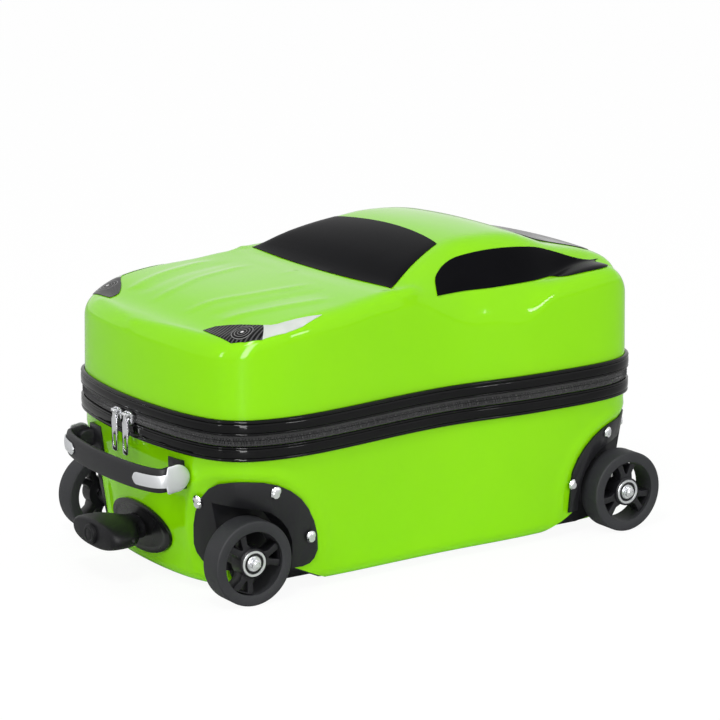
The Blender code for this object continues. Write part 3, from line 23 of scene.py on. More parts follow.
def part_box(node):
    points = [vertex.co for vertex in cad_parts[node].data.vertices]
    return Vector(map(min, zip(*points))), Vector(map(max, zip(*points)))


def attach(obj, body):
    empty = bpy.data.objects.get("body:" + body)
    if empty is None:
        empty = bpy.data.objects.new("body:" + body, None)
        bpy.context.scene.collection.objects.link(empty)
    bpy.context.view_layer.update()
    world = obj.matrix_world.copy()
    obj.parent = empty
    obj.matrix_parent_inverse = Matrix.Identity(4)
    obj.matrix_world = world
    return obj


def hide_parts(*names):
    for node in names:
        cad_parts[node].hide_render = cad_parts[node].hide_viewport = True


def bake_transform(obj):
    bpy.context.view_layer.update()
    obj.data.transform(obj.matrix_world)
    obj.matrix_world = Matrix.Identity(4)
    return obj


LOG = logging.getLogger("suitcase")
Colour = tuple[float, float, float]
Outline = list[tuple[float, float]]
Piece = bpy.types.Object

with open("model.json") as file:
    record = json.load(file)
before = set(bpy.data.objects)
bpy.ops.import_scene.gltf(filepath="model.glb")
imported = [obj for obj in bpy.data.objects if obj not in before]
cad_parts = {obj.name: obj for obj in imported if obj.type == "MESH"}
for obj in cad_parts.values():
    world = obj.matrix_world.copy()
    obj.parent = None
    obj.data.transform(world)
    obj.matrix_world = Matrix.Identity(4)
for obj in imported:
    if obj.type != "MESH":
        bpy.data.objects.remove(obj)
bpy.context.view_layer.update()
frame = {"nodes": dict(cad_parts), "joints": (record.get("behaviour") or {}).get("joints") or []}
HINGE_X = next(j["pos_m"][0] for j in frame["joints"] if j["name"] == "lid_hinge")
GAP = 0.0003
WHEELBASE = 0.384
TRACK = 0.248
WHEEL_RADIUS = 0.036
PACKED_WHEEL_SIDES = 18
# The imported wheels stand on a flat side, so the turned tyres take that height as their radius.
AXLE_Z = WHEEL_RADIUS * math.cos(math.pi / PACKED_WHEEL_SIDES)
POCKET_Y = 0.100
HOUSING_WALL = 0.0025
ROD_LEVEL = 0.040
PROBE = 0.001


def ease(share: float) -> float:
    """Smooth step from 0 to 1."""
    share = min(max(share, 0.0), 1.0)
    return share * share * (3 - 2 * share)


def through(points: Sequence[tuple[float, float]], x: float) -> float:
    """The height at x of a smooth curve through points.

    Args:
        points: places and heights, in rising order of place.
        x: the place asked for.

    Returns:
        The height there.
    """
    if x <= points[0][0]:
        return points[0][1]
    if x >= points[-1][0]:
        return points[-1][1]
    i = max(j for j in range(len(points) - 1) if points[j][0] <= x)

    def slope(j: int) -> float:
        """Slope of the curve at point j."""
        a, b = max(j - 1, 0), min(j + 1, len(points) - 1)
        return (points[b][1] - points[a][1]) / (points[b][0] - points[a][0])

    (x0, z0), (x1, z1) = points[i], points[i + 1]
    run, t = x1 - x0, (x - x0) / (x1 - x0)
    start = z0 * (2 * t**3 - 3 * t**2 + 1) + slope(i) * run * (t**3 - 2 * t**2 + t)
    return start + z1 * (3 * t**2 - 2 * t**3) + slope(i + 1) * run * (t**3 - t**2)


class Axis(Enum):
    """Directions that pieces are turned about."""

    X = (1.0, 0.0, 0.0)
    Y = (0.0, 1.0, 0.0)
    Z = (0.0, 0.0, 1.0)


class Flank(Enum):
    """The two sides of the case."""

    NEAR = -1
    FAR = 1

    @property
    def label(self) -> str:
        """The word that node names use."""
        return self.name.lower()


class End(Enum):
    """The two ends of the case."""

    FRONT = -1
    REAR = 1

    @property
    def label(self) -> str:
        """The word that node names use."""
        return self.name.lower()


class Grain(Enum):
    """Fine relief of a finish."""

    MOULDED = "moulded"
    BRUSHED = "brushed"
    WEAVE = "weave"
    WRINKLED = "wrinkled"


@dataclass(frozen=True)
class Finish:
    """One surface finish: two near tones, gloss and fine relief."""

    name: str
    slot: str
    colour: Colour
    tone: Colour
    roughness: float
    spread: float = 0.04
    metallic: float = 0.0
    specular: float = 0.5
    sheen: float = 0.0
    grain: Grain = Grain.MOULDED
    grain_scale: float = 900.0
    grain_depth: float = 0.00003


GREEN = Finish("lime_gloss_sheet", "shell_green", (0.310, 0.86, 0.0015), (0.325, 0.87, 0.0025), 0.05, 0.02,
               specular=0.21, grain_scale=70.0, grain_depth=0.00005)
VINYL = Finish("black_vinyl_piping", "gloss_black", (0.0020, 0.0020, 0.0025), (0.0040, 0.0040, 0.0045),
               0.06, 0.05, specular=0.17, grain=Grain.WRINKLED, grain_scale=38.0, grain_depth=0.0007)
GLASS_FILM = Finish("black_window_film", "gloss_black", (0.0050, 0.0050, 0.0060), (0.0065, 0.0065, 0.0080),
                    0.12, 0.05, specular=0.012, grain_scale=300.0, grain_depth=0.00001)
REAR_FILM = Finish("tinted_window_film", "gloss_black", (0.012, 0.013, 0.016), (0.016, 0.017, 0.021), 0.10,
                   0.05, specular=0.40, grain_scale=300.0, grain_depth=0.00001)
PLATE_BLACK = Finish("black_plate", "gloss_black", (0.006, 0.007, 0.007), (0.011, 0.011, 0.012), 0.22, 0.08,
                     specular=0.3, grain_scale=1400.0, grain_depth=0.00002)
HOUSING_BLACK = Finish("black_moulding", "matt_black", (0.010, 0.010, 0.012), (0.016, 0.016, 0.019), 0.32,
                       0.10, specular=0.28, grain_scale=1600.0, grain_depth=0.00005)
GRIP_BLACK = Finish("black_grip_moulding", "matt_black", (0.006, 0.006, 0.007), (0.010, 0.010, 0.012), 0.40,
                    0.10, specular=0.16, grain_scale=1500.0, grain_depth=0.00007)
TYRE_BLACK = Finish("tyre_rubber", "rubber_black", (0.024, 0.025, 0.028), (0.034, 0.035, 0.039), 0.56, 0.12,
                    specular=0.3, grain_scale=800.0, grain_depth=0.00009)
STRAP_BLACK = Finish("strap_rubber", "rubber_black", (0.010, 0.010, 0.012), (0.017, 0.017, 0.020), 0.44,
                     0.10, specular=0.3, grain_scale=1100.0, grain_depth=0.00008)
TAPE = Finish("zip_tape_weave", "tape_black", (0.012, 0.012, 0.013), (0.026, 0.025, 0.026), 0.70, 0.10,
              sheen=0.25, grain=Grain.WEAVE, grain_scale=1250.0, grain_depth=0.00012)
TEETH = Finish("zip_coil_nylon", "tape_black", (0.020, 0.020, 0.022), (0.05, 0.05, 0.052), 0.30, 0.08,
               grain_scale=2000.0, grain_depth=0.00002)
LINING = Finish("lining_cloth", "lining_grey", (0.12, 0.125, 0.135), (0.17, 0.175, 0.185), 0.82, 0.08,
                sheen=0.35, grain=Grain.WEAVE, grain_scale=780.0, grain_depth=0.00016)
CHROME = Finish("bright_plating", "bright_metal", (0.78, 0.78, 0.80), (0.66, 0.67, 0.69), 0.16, 0.10,
                metallic=1.0, grain_scale=420.0, grain_depth=0.00003)
RACE_STEEL = Finish("bearing_steel", "bright_metal", (0.70, 0.71, 0.72), (0.58, 0.59, 0.61), 0.27, 0.10,
                    metallic=1.0, grain=Grain.BRUSHED, grain_scale=260.0, grain_depth=0.00003)
SATIN = Finish("satin_silver_paint", "satin_silver", (0.74, 0.75, 0.77), (0.62, 0.63, 0.66), 0.36, 0.10,
               metallic=0.55, grain_scale=900.0, grain_depth=0.00003)
TUBE_STEEL = Finish("drawn_tube_steel", "rod_steel", (0.62, 0.63, 0.65), (0.48, 0.49, 0.51), 0.28, 0.12,
                    metallic=1.0, grain=Grain.BRUSHED, grain_scale=220.0, grain_depth=0.00004)


def feed(tree: bpy.types.NodeTree, node: bpy.types.Node, values: dict[str | int, object]) -> None:
    """Gives each input of a shader node its value, or a link where the value is a socket."""
    for key, value in values.items():
        if isinstance(value, bpy.types.NodeSocket):
            tree.links.new(value, node.inputs[key])
        else:
            node.inputs[key].default_value = value


def add_node(tree: bpy.types.NodeTree, kind: str, values: dict[str | int, object] | None = None,
             **settings: object) -> bpy.types.Node:
    """A new shader node.

    Args:
        tree: the tree that it goes into.
        kind: its type, without the leading word ShaderNode.
        values: a value or a socket for each of its inputs.
        settings: its own settings, set before its inputs.

    Returns:
        The node.
    """
    node = tree.nodes.new(f"ShaderNode{kind}")
    for key, value in settings.items():
        setattr(node, key, value)
    feed(tree, node, values or {})
    return node


class Effects:
    """Shader node groups that several materials share, each built once."""

    _made: dict[str, bpy.types.NodeTree] = {}

    @classmethod
    def _start(cls, name: str, inputs: dict[str, float], outputs: dict[str, str]) -> bpy.types.NodeTree:
        """An empty group with named sockets.

        Args:
            name: the group's name.
            inputs: each float input with its default.
            outputs: each output with its socket type.

        Returns:
            The new node tree.
        """
        tree = bpy.data.node_groups.new(name, "ShaderNodeTree")
        for key, value in inputs.items():
            socket = tree.interface.new_socket(key, in_out="INPUT", socket_type="NodeSocketFloat")
            socket.default_value = value
        for key, kind in outputs.items():
            tree.interface.new_socket(key, in_out="OUTPUT", socket_type=kind)
        tree.nodes.new("NodeGroupInput").name = "in"
        tree.nodes.new("NodeGroupOutput").name = "out"
        tree.nodes.new("ShaderNodeTexCoord").name = "place"
        cls._made[name] = tree
        return tree

    @classmethod
    def tone(cls) -> bpy.types.NodeTree:
        """Slow change between two tones and two gloss levels over the surface."""
        if "tone_over_surface" in cls._made:
            return cls._made["tone_over_surface"]
        tree = cls._start("tone_over_surface", {"Scale": 14.0, "Roughness": 0.3, "Spread": 0.05},
                          {"Mask": "NodeSocketFloat", "Roughness": "NodeSocketFloat"})
        given = tree.nodes["in"].outputs
        cloud = add_node(tree, "TexNoise", {"Detail": 4.0, "Roughness": 0.62, "Scale": given["Scale"],
                                            "Vector": tree.nodes["place"].outputs["Object"]})
        steep = add_node(tree, "MapRange", {"From Min": 0.32, "From Max": 0.68,
                                            "Value": cloud.outputs["Fac"]})
        mask = steep.outputs["Result"]
        smear = add_node(tree, "Math", {0: mask, 1: given["Spread"], 2: given["Roughness"]},
                         operation="MULTIPLY_ADD")
        feed(tree, tree.nodes["out"], {"Mask": mask, "Roughness": smear.outputs[0]})
        return tree

    @classmethod
    def relief(cls, grain: Grain) -> bpy.types.NodeTree:
        """Fine relief of one kind, as a height from 0 to 1.

        Args:
            grain: which relief.

        Returns:
            The group, with a Scale input and a Height output.
        """
        name = f"relief_{grain.value}"
        if name in cls._made:
            return cls._made[name]
        tree = cls._start(name, {"Scale": 900.0}, {"Height": "NodeSocketFloat"})
        place, scale = tree.nodes["place"].outputs, tree.nodes["in"].outputs["Scale"]
        if grain is Grain.WEAVE:
            waves = [add_node(tree, "TexWave", {"Distortion": 0.6, "Vector": place["UV"], "Scale": scale},
                              bands_direction=direction) for direction in ("X", "Y")]
            last = add_node(tree, "Math", {0: waves[0].outputs["Fac"], 1: waves[1].outputs["Fac"]},
                            operation="MAXIMUM")
        else:
            coords = place["UV" if grain is Grain.WRINKLED else "Object"]
            stretch = add_node(tree, "Mapping", {"Vector": coords})
            last = add_node(tree, "TexNoise", {"Detail": 3.0, "Vector": stretch.outputs["Vector"],
                                               "Scale": scale})
            if grain is Grain.BRUSHED:
                feed(tree, stretch, {"Scale": (0.06, 6.0, 6.0)})
            if grain is Grain.WRINKLED:
                feed(tree, stretch, {"Scale": (0.55, 2.6, 1.0)})
                feed(tree, last, {"Roughness": 0.42, "Distortion": 0.5})
        feed(tree, tree.nodes["out"], {"Height": last.outputs[0]})
        return tree


class PaintShop:
    """Makes each finish's material once and puts it on pieces."""

    def __init__(self) -> None:
        """Starts with no material made."""
        self._made: dict[str, bpy.types.Material] = {}

    def material(self, finish: Finish) -> bpy.types.Material:
        """The material of a finish.

        Args:
            finish: the finish asked for.

        Returns:
            Its material, made on first use.
        """
        if finish.name in self._made:
            return self._made[finish.name]
        made = bpy.data.materials.new(finish.name)
        made.use_nodes = True
        tree = made.node_tree
        tone = add_node(tree, "Group", {"Roughness": finish.roughness, "Spread": finish.spread},
                        node_tree=Effects.tone())
        mix = add_node(tree, "Mix", {"A": (*finish.colour, 1.0), "B": (*finish.tone, 1.0),
                                     "Factor": tone.outputs["Mask"]}, data_type="RGBA")
        relief = add_node(tree, "Group", {"Scale": finish.grain_scale},
                          node_tree=Effects.relief(finish.grain))
        bump = add_node(tree, "Bump", {"Strength": 1.0, "Distance": finish.grain_depth,
                                       "Height": relief.outputs["Height"]})
        feed(tree, tree.nodes["Principled BSDF"],
             {"Metallic": finish.metallic, "Specular IOR Level": finish.specular,
              "Sheen Weight": finish.sheen, "Base Color": mix.outputs["Result"],
              "Roughness": tone.outputs["Roughness"], "Normal": bump.outputs["Normal"]})
        made.diffuse_color = (*finish.colour, 1.0)
        self._made[finish.name] = made
        return made

    def dress(self, piece: Piece, finish: Finish, body: str, *nodes: str) -> Piece:
        """Gives a piece its finish, its place in the frame and the body it rides on.

        Args:
            piece: the finished piece, in layout coordinates.
            finish: its finish.
            body: the CAD body that carries it.
            nodes: the CAD nodes that it stands for.

        Returns:
            The piece.
        """
        piece.data.materials.clear()
        piece.data.materials.append(self.material(finish))
        return self.place(piece, finish.slot, body, *nodes)

    @staticmethod
    def place(piece: Piece, slot: str, body: str, *nodes: str) -> Piece:
        """Moves a piece from the layout to the frame and ties it to its body."""
        piece.data.transform(Matrix.Translation((SHIFT, 0, 0)))
        piece.data.update()
        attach(piece, body)
        if nodes:
            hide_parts(*nodes)
        LOG.info("%s rides on %s, %d faces", piece.name, body, len(piece.data.polygons))
        return piece


    def soften_packed(self, node: str, name: str, width: float, finish: Finish, body: str,
                      angle: float = 38.0) -> None:
        """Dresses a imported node's own shape, its sharp edges rounded.

        Args:
            node: the CAD node.
            name: the piece's name.
            width: how wide its edges are rounded.
            finish: its finish.
            body: the CAD body that carries it.
            angle: edges sharper than this are rounded, in degrees.
        """
        self.dress(Bench.soften(Bench.from_node(node, name), width, 2, angle), finish, body, node)


class Bench:
    """Blender's own modelling tools, used as by hand."""

    @staticmethod
    def clear() -> None:
        """Leaves edit mode and deselects everything."""
        if bpy.context.mode != "OBJECT":
            bpy.ops.object.mode_set(mode="OBJECT")
        bpy.ops.object.select_all(action="DESELECT")

    @classmethod
    def activate(cls, piece: Piece) -> None:
        """Makes one piece the only selected and active one."""
        cls.clear()
        piece.select_set(True)
        bpy.context.view_layer.objects.active = piece

    @classmethod
    def named(cls, name: str) -> Piece:
        """Names the active primitive and applies its transform."""
        piece = bpy.context.view_layer.objects.active
        piece.name = piece.data.name = name
        bpy.ops.object.transform_apply(location=True, rotation=True, scale=True)
        return piece

    @classmethod
    def cylinder(cls, name: str, radius: float, start: Sequence[float], end: Sequence[float],
                 sides: int = 48) -> Piece:
        """A round bar between two points, with an n-gon at each end."""
        cls.clear()
        a, b = Vector(start), Vector(end)
        turn = (b - a).to_track_quat("Z", "Y").to_euler()
        bpy.ops.mesh.primitive_cylinder_add(vertices=sides, radius=radius, depth=(b - a).length,
                                            location=(a + b) / 2, rotation=turn)
        return cls.named(name)

    @staticmethod
    def fresh(name: str, mesh: bpy.types.Mesh) -> Piece:
        """A new piece round a mesh, in the scene, both under one name."""
        mesh.name = name
        piece = bpy.data.objects.new(name, mesh)
        bpy.context.scene.collection.objects.link(piece)
        return piece

    @classmethod
    def raw(cls, name: str, points: Sequence[Vector], faces: Sequence[tuple[int, ...]],
            edges: Sequence[tuple[int, int]] = ()) -> Piece:
        """A new piece from its corners and the faces or edges between them."""
        mesh = bpy.data.meshes.new(name)
        mesh.from_pydata([tuple(p) for p in points], edges, faces)
        return cls.fresh(name, mesh)

    @classmethod
    def from_rows(cls, name: str, rows: Sequence[Sequence[Vector]], around: bool = True,
                  closed: bool = False) -> Piece:
        """A quad surface through rows of points, with its UVs in metres.

        Args:
            name: the piece's name.
            rows: rings or strips with equal numbers of points.
            around: whether each row's ends join.
            closed: whether the first and last rows join.

        Returns:
            The new piece.
        """
        count, width = len(rows), len(rows[0])
        faces = []
        for r in range(count if closed else count - 1):
            for c in range(width if around else width - 1):
                d, n = (c + 1) % width, (r + 1) % count
                faces.append((r * width + c, r * width + d, n * width + d, n * width + c))
        piece = cls.raw(name, [p for row in rows for p in row], faces)
        longest = max(rows, key=lambda row: sum((a - b).length for a, b in zip(row, row[1:])))
        along = [0.0]
        for a, b in zip(longest, list(longest[1:]) + [longest[0]]):
            along.append(along[-1] + (b - a).length)
        up = [0.0]
        for a, b in zip(rows, list(rows[1:]) + [rows[0]]):
            up.append(up[-1] + (b[0] - a[0]).length)
        layer = piece.data.uv_layers.new(name="UVMap")
        corner = 0
        for r in range(count if closed else count - 1):
            for c in range(width if around else width - 1):
                for u, v in ((c, r), (c + 1, r), (c + 1, r + 1), (c, r + 1)):
                    layer.data[corner].uv = (along[u], up[v])
                    corner += 1
        return piece

    @classmethod
    def turned(cls, name: str, profile: Sequence[tuple[float, float]], centre: Sequence[float],
               axis: Axis, steps: int = 64, closed: bool = True, outwards: int = 1) -> Piece:
        """A solid of revolution, spun from its profile.

        Args:
            name: the piece's name.
            profile: each corner's radius and distance along the axis.
            centre: the point that distances are counted from.
            axis: the axis that the profile is spun about.
            steps: facets round the axis.
            closed: whether the profile's last corner joins its first.
            outwards: 1 or -1, the way in which distances run.

        Returns:
            The new piece.
        """
        cls.clear()
        heading = Vector(axis.value) * outwards
        side = Vector((0, 0, 1)) if axis is not Axis.Z else Vector((1, 0, 0))
        points = [Vector(centre) + side * radius + heading * along for radius, along in profile]
        edges = [(i, i + 1) for i in range(len(points) - 1)]
        if closed:
            edges.append((len(points) - 1, 0))
        piece = cls.raw(name, points, [], edges)
        cls.activate(piece)
        bpy.ops.object.mode_set(mode="EDIT")
        bpy.ops.mesh.select_all(action="SELECT")
        bpy.ops.mesh.spin(steps=steps, angle=2 * math.pi, center=tuple(centre), axis=axis.value)
        cls.close_up()
        return piece

    @staticmethod
    def close_up() -> None:
        """Merges doubles, turns all faces outwards and leaves edit mode."""
        bpy.ops.mesh.select_all(action="SELECT")
        bpy.ops.mesh.remove_doubles(threshold=0.000005)
        bpy.ops.mesh.normals_make_consistent(inside=False)
        bpy.ops.object.mode_set(mode="OBJECT")

    @classmethod
    def tidy(cls, piece: Piece) -> Piece:
        """Merges doubles and turns all faces of a piece outwards."""
        cls.activate(piece)
        bpy.ops.object.mode_set(mode="EDIT")
        cls.close_up()
        return piece

    @classmethod
    def cap_ends(cls, piece: Piece) -> None:
        """Fills the open ends of a piece and turns its faces outwards."""
        cls.activate(piece)
        bpy.ops.object.mode_set(mode="EDIT")
        bpy.ops.mesh.select_mode(type="EDGE")
        bpy.ops.mesh.select_all(action="DESELECT")
        bpy.ops.mesh.select_non_manifold()
        bpy.ops.mesh.fill_holes(sides=0)
        cls.close_up()

    @classmethod
    def pick(cls, test: Callable[[Vector, Vector], bool]) -> None:
        """Selects, in edit mode, the faces whose centre and normal pass a test."""
        bpy.ops.mesh.select_mode(type="FACE")
        bpy.ops.mesh.select_all(action="DESELECT")
        mesh = bmesh.from_edit_mesh(bpy.context.edit_object.data)
        for face in mesh.faces:
            face.select_set(bool(test(face.calc_center_median(), face.normal)))
        bmesh.update_edit_mesh(bpy.context.edit_object.data)

    @classmethod
    def apply(cls, piece: Piece, kind: str, **values: object) -> Piece:
        """Adds a modifier with these values and applies it."""
        step = piece.modifiers.new(kind.lower(), kind)
        for key, value in values.items():
            setattr(step, key, value)
        cls.activate(piece)
        bpy.ops.object.modifier_apply(modifier=step.name)
        return piece

    @classmethod
    def carve(cls, piece: Piece, other: Piece, operation: str = "DIFFERENCE") -> Piece:
        """Joins or cuts a piece with a helper, which is then removed."""
        cls.apply(piece, "BOOLEAN", operation=operation, object=other, solver="EXACT")
        bpy.data.objects.remove(other, do_unlink=True)
        return piece

    @classmethod
    def soften(cls, piece: Piece, width: float, segments: int = 2, angle: float = 35.0) -> Piece:
        """Rounds the sharp edges of a piece and shades it smooth."""
        cls.apply(piece, "BEVEL", width=width, segments=segments, limit_method="ANGLE",
                  angle_limit=math.radians(angle), miter_outer="MITER_ARC", use_clamp_overlap=True)
        return cls.smooth(piece, angle)

    @classmethod
    def smooth(cls, piece: Piece, angle: float = 40.0) -> Piece:
        """Shades a piece smooth but for its sharp edges."""
        cls.activate(piece)
        bpy.ops.object.shade_smooth_by_angle(angle=math.radians(angle))
        return piece

    @classmethod
    def join(cls, name: str, pieces: Sequence[Piece]) -> Piece:
        """Joins several pieces into one named piece."""
        cls.clear()
        for piece in pieces:
            piece.select_set(True)
        bpy.context.view_layer.objects.active = pieces[0]
        bpy.ops.object.join()
        pieces[0].name = pieces[0].data.name = name
        return pieces[0]

    @classmethod
    def twin(cls, piece: Piece, name: str, matrix: Matrix) -> Piece:
        """A copy with its own mesh, moved by a matrix, its faces outwards."""
        mesh = piece.data.copy()
        mesh.transform(matrix)
        if matrix.determinant() < 0:
            mesh.flip_normals()
        return cls.fresh(name, mesh)

    @classmethod
    def from_node(cls, node: str, name: str) -> Piece:
        """A merged copy of a CAD node's mesh in layout coordinates."""
        mesh = frame["nodes"][node].data.copy()
        mesh.transform(Matrix.Translation((-SHIFT, 0, 0)))
        piece = cls.fresh(name, mesh)
        cls.activate(piece)
        bpy.ops.object.mode_set(mode="EDIT")
        bpy.ops.mesh.select_all(action="SELECT")
        bpy.ops.mesh.remove_doubles(threshold=0.00001)
        bpy.ops.mesh.dissolve_limited(angle_limit=math.radians(2.0))
        bpy.ops.object.mode_set(mode="OBJECT")
        for edge in piece.data.edges:
            edge.use_edge_sharp = False
        return piece

    @classmethod
    def prism(cls, name: str, outline: Outline, axis: Axis, low: float, high: float) -> Piece:
        """A helper solid over a flat outline, along one axis.

        Args:
            name: the helper's name.
            outline: corners in the two other directions, in X, Y, Z order.
            axis: the direction that the outline is drawn along.
            low: where it starts.
            high: where it ends.

        Returns:
            The helper.
        """
        order = {Axis.X: lambda a, b, c: (c, a, b), Axis.Y: lambda a, b, c: (a, c, b),
                 Axis.Z: lambda a, b, c: (a, b, c)}[axis]
        rows = [[Vector(order(a, b, c)) for a, b in outline] for c in (low, high)]
        count = len(outline)
        faces = [(i, (i + 1) % count, count + (i + 1) % count, count + i) for i in range(count)]
        faces += [tuple(reversed(range(count))), tuple(range(count, 2 * count))]
        return cls.tidy(cls.raw(name, [p for row in rows for p in row], faces))


@dataclass(frozen=True)
class CasePlan:
    """The plan and the section of the case, which lid, tub and belt share."""

    front: float = 0.233
    rear: float = 0.231
    front_half: float = 0.141
    waist_half: float = 0.1245
    rear_half: float = 0.1295
    fender_x: float = -0.162
    waist_x: float = 0.012
    haunch_x: float = 0.095
    front_bow: float = 0.022
    rear_bow: float = 0.022
    power: float = 8.0
    inset: float = 0.0033
    wall: float = 0.0025
    floor: float = 0.005
    floor_radius: float = 0.012
    foot_power: float = 4.5
    seam: float = 0.136
    belt_bottom: float = 0.119
    belt_top: float = 0.153
    tape: float = 0.004

    @property
    def ridge(self) -> float:
        """Half length of the ridge that rows shrink towards."""
        return self.rear - 0.085

    def half_width(self, x: float) -> float:
        """Half the belt's width at one place along the case."""
        if x < self.waist_x:
            share = ease((x - self.fender_x) / (self.waist_x - self.fender_x))
            return self.front_half + (self.waist_half - self.front_half) * share
        share = ease((x - self.waist_x) / (self.haunch_x - self.waist_x))
        return self.waist_half + (self.rear_half - self.waist_half) * share

    def belt_point(self, u: float, v: float) -> Vector:
        """A point of the belt from its shares of half length and half width."""
        x = self.rear * u - self.rear_bow * u * v**3 if u > 0 else self.front * u - self.front_bow * u * v**2
        return Vector((x, -v * self.half_width(x)))

    def stations(self, count: int, weight: float = 0.11) -> list[tuple[Vector, Vector]]:
        """Points and outward normals round the belt, closest at the corners.

        Args:
            count: how many.
            weight: length in metres that a radian of turn counts for.

        Returns:
            Pairs of plan point and plan normal, from the front centre round by the near side.
        """
        steps, power = 240, self.power
        corner = 0.5 ** (1 / power)
        across = [corner * i / steps for i in range(steps)]
        along = [-corner + 2 * corner * i / (2 * steps) for i in range(2 * steps)]
        points = [self.belt_point(-((1 - v**power) ** (1 / power)), v) for v in across]
        points += [self.belt_point(u, (1 - abs(u) ** power) ** (1 / power)) for u in along]
        points += [self.belt_point((1 - v**power) ** (1 / power), v) for v in [corner] + across[::-1]]
        runs = [b - a for a, b in zip(points, points[1:])]
        heads = [math.atan2(run.y, run.x) for run in runs]
        reached = [0.0]
        for i, run in enumerate(runs):
            turn = abs(heads[i] - heads[i - 1]) if i else 0.0
            reached.append(reached[-1] + run.length + weight * min(turn, 2 * math.pi - turn))
        half, found, i = count // 2, [], 0
        for k in range(half + 1):
            goal = reached[-1] * k / half
            while i < len(runs) - 1 and reached[i + 1] <= goal:
                i += 1
            share = (goal - reached[i]) / (reached[i + 1] - reached[i])
            near, far = runs[max(i - 2, 0)], runs[min(i + 2, len(runs) - 1)]
            heading = (near.normalized() + far.normalized()).normalized()
            found.append((points[i] + runs[i] * min(share, 1.0), Vector((heading.y, -heading.x))))
        found[0] = (points[0], Vector((-1, 0)))
        found[-1] = (points[-1], Vector((1, 0)))
        mirrored = [(Vector((p.x, -p.y)), Vector((n.x, -n.y))) for p, n in found[-2:0:-1]]
        return found + mirrored

    def ring(self, stations: Sequence[tuple[Vector, Vector]], offset: float, z: float) -> list[Vector]:
        """A ring round the case, offset outwards from the belt's plan."""
        return [Vector((p.x + n.x * offset, p.y + n.y * offset, z)) for p, n in stations]

    def below_belt(self, z: float) -> float:
        """Share of the way from the belt down to the floor."""
        return max(0.0, self.belt_bottom - z) / (self.belt_bottom - self.floor)

    def tub_offset(self, x: float, z: float) -> float:
        """How far the tub's wall stands off the belt's plan."""
        return -self.inset - (0.001 + 0.75 * (self.half_width(x) - self.waist_half)) * self.below_belt(z)

    def corner_draw(self, point: Vector) -> float:
        """Share by which a station is drawn in at the floor, whose corners are rounder."""
        v = abs(point.y) / self.half_width(point.x)
        reach = self.rear - self.rear_bow * v**3 if point.x > 0 else self.front - self.front_bow * v**2
        far = (abs(point.x) / reach) ** self.foot_power + v**self.foot_power
        return max(1 - far ** (-1 / self.foot_power), 0.0)

    def tub_ring(self, stations: Sequence[tuple[Vector, Vector]], beyond: float, level: float,
                 z: float) -> list[Vector]:
        """A ring on the tub's wall as it is at a level, moved out and drawn at z."""
        ring = []
        for p, n in stations:
            offset = beyond + self.tub_offset(p.x, level)
            kept = 1 - self.corner_draw(p) * self.below_belt(level)
            ring.append(Vector((p.x * kept + n.x * offset, p.y * kept + n.y * offset, z)))
        return ring


PLAN = CasePlan()
SHIFT = HINGE_X - PLAN.rear


@dataclass(frozen=True)
class Crease:
    """A soft ridge or groove along a line on a moulded surface."""

    line: tuple[tuple[float, float, float], ...]
    height: float
    width: float
    mirrored: bool = True

    def raise_by(self, points: np.ndarray) -> np.ndarray:
        """How far each point is moved along its normal.

        Args:
            points: rows of X, Y, Z.

        Returns:
            One distance for each point.
        """
        lines = [np.array(self.line)]
        if self.mirrored:
            lines.append(lines[0] * np.array((1, -1, 1)))
        moved = np.zeros(len(points))
        for line in lines:
            nearest = np.full(len(points), 1.0)
            for a, b in zip(line, line[1:]):
                run = b - a
                share = np.clip(((points - a) @ run) / (run @ run), 0, 1)
                nearest = np.minimum(nearest, np.linalg.norm(points - a - share[:, None] * run, axis=1))
            moved += self.height * np.exp(-((nearest / self.width) ** 2))
        return moved


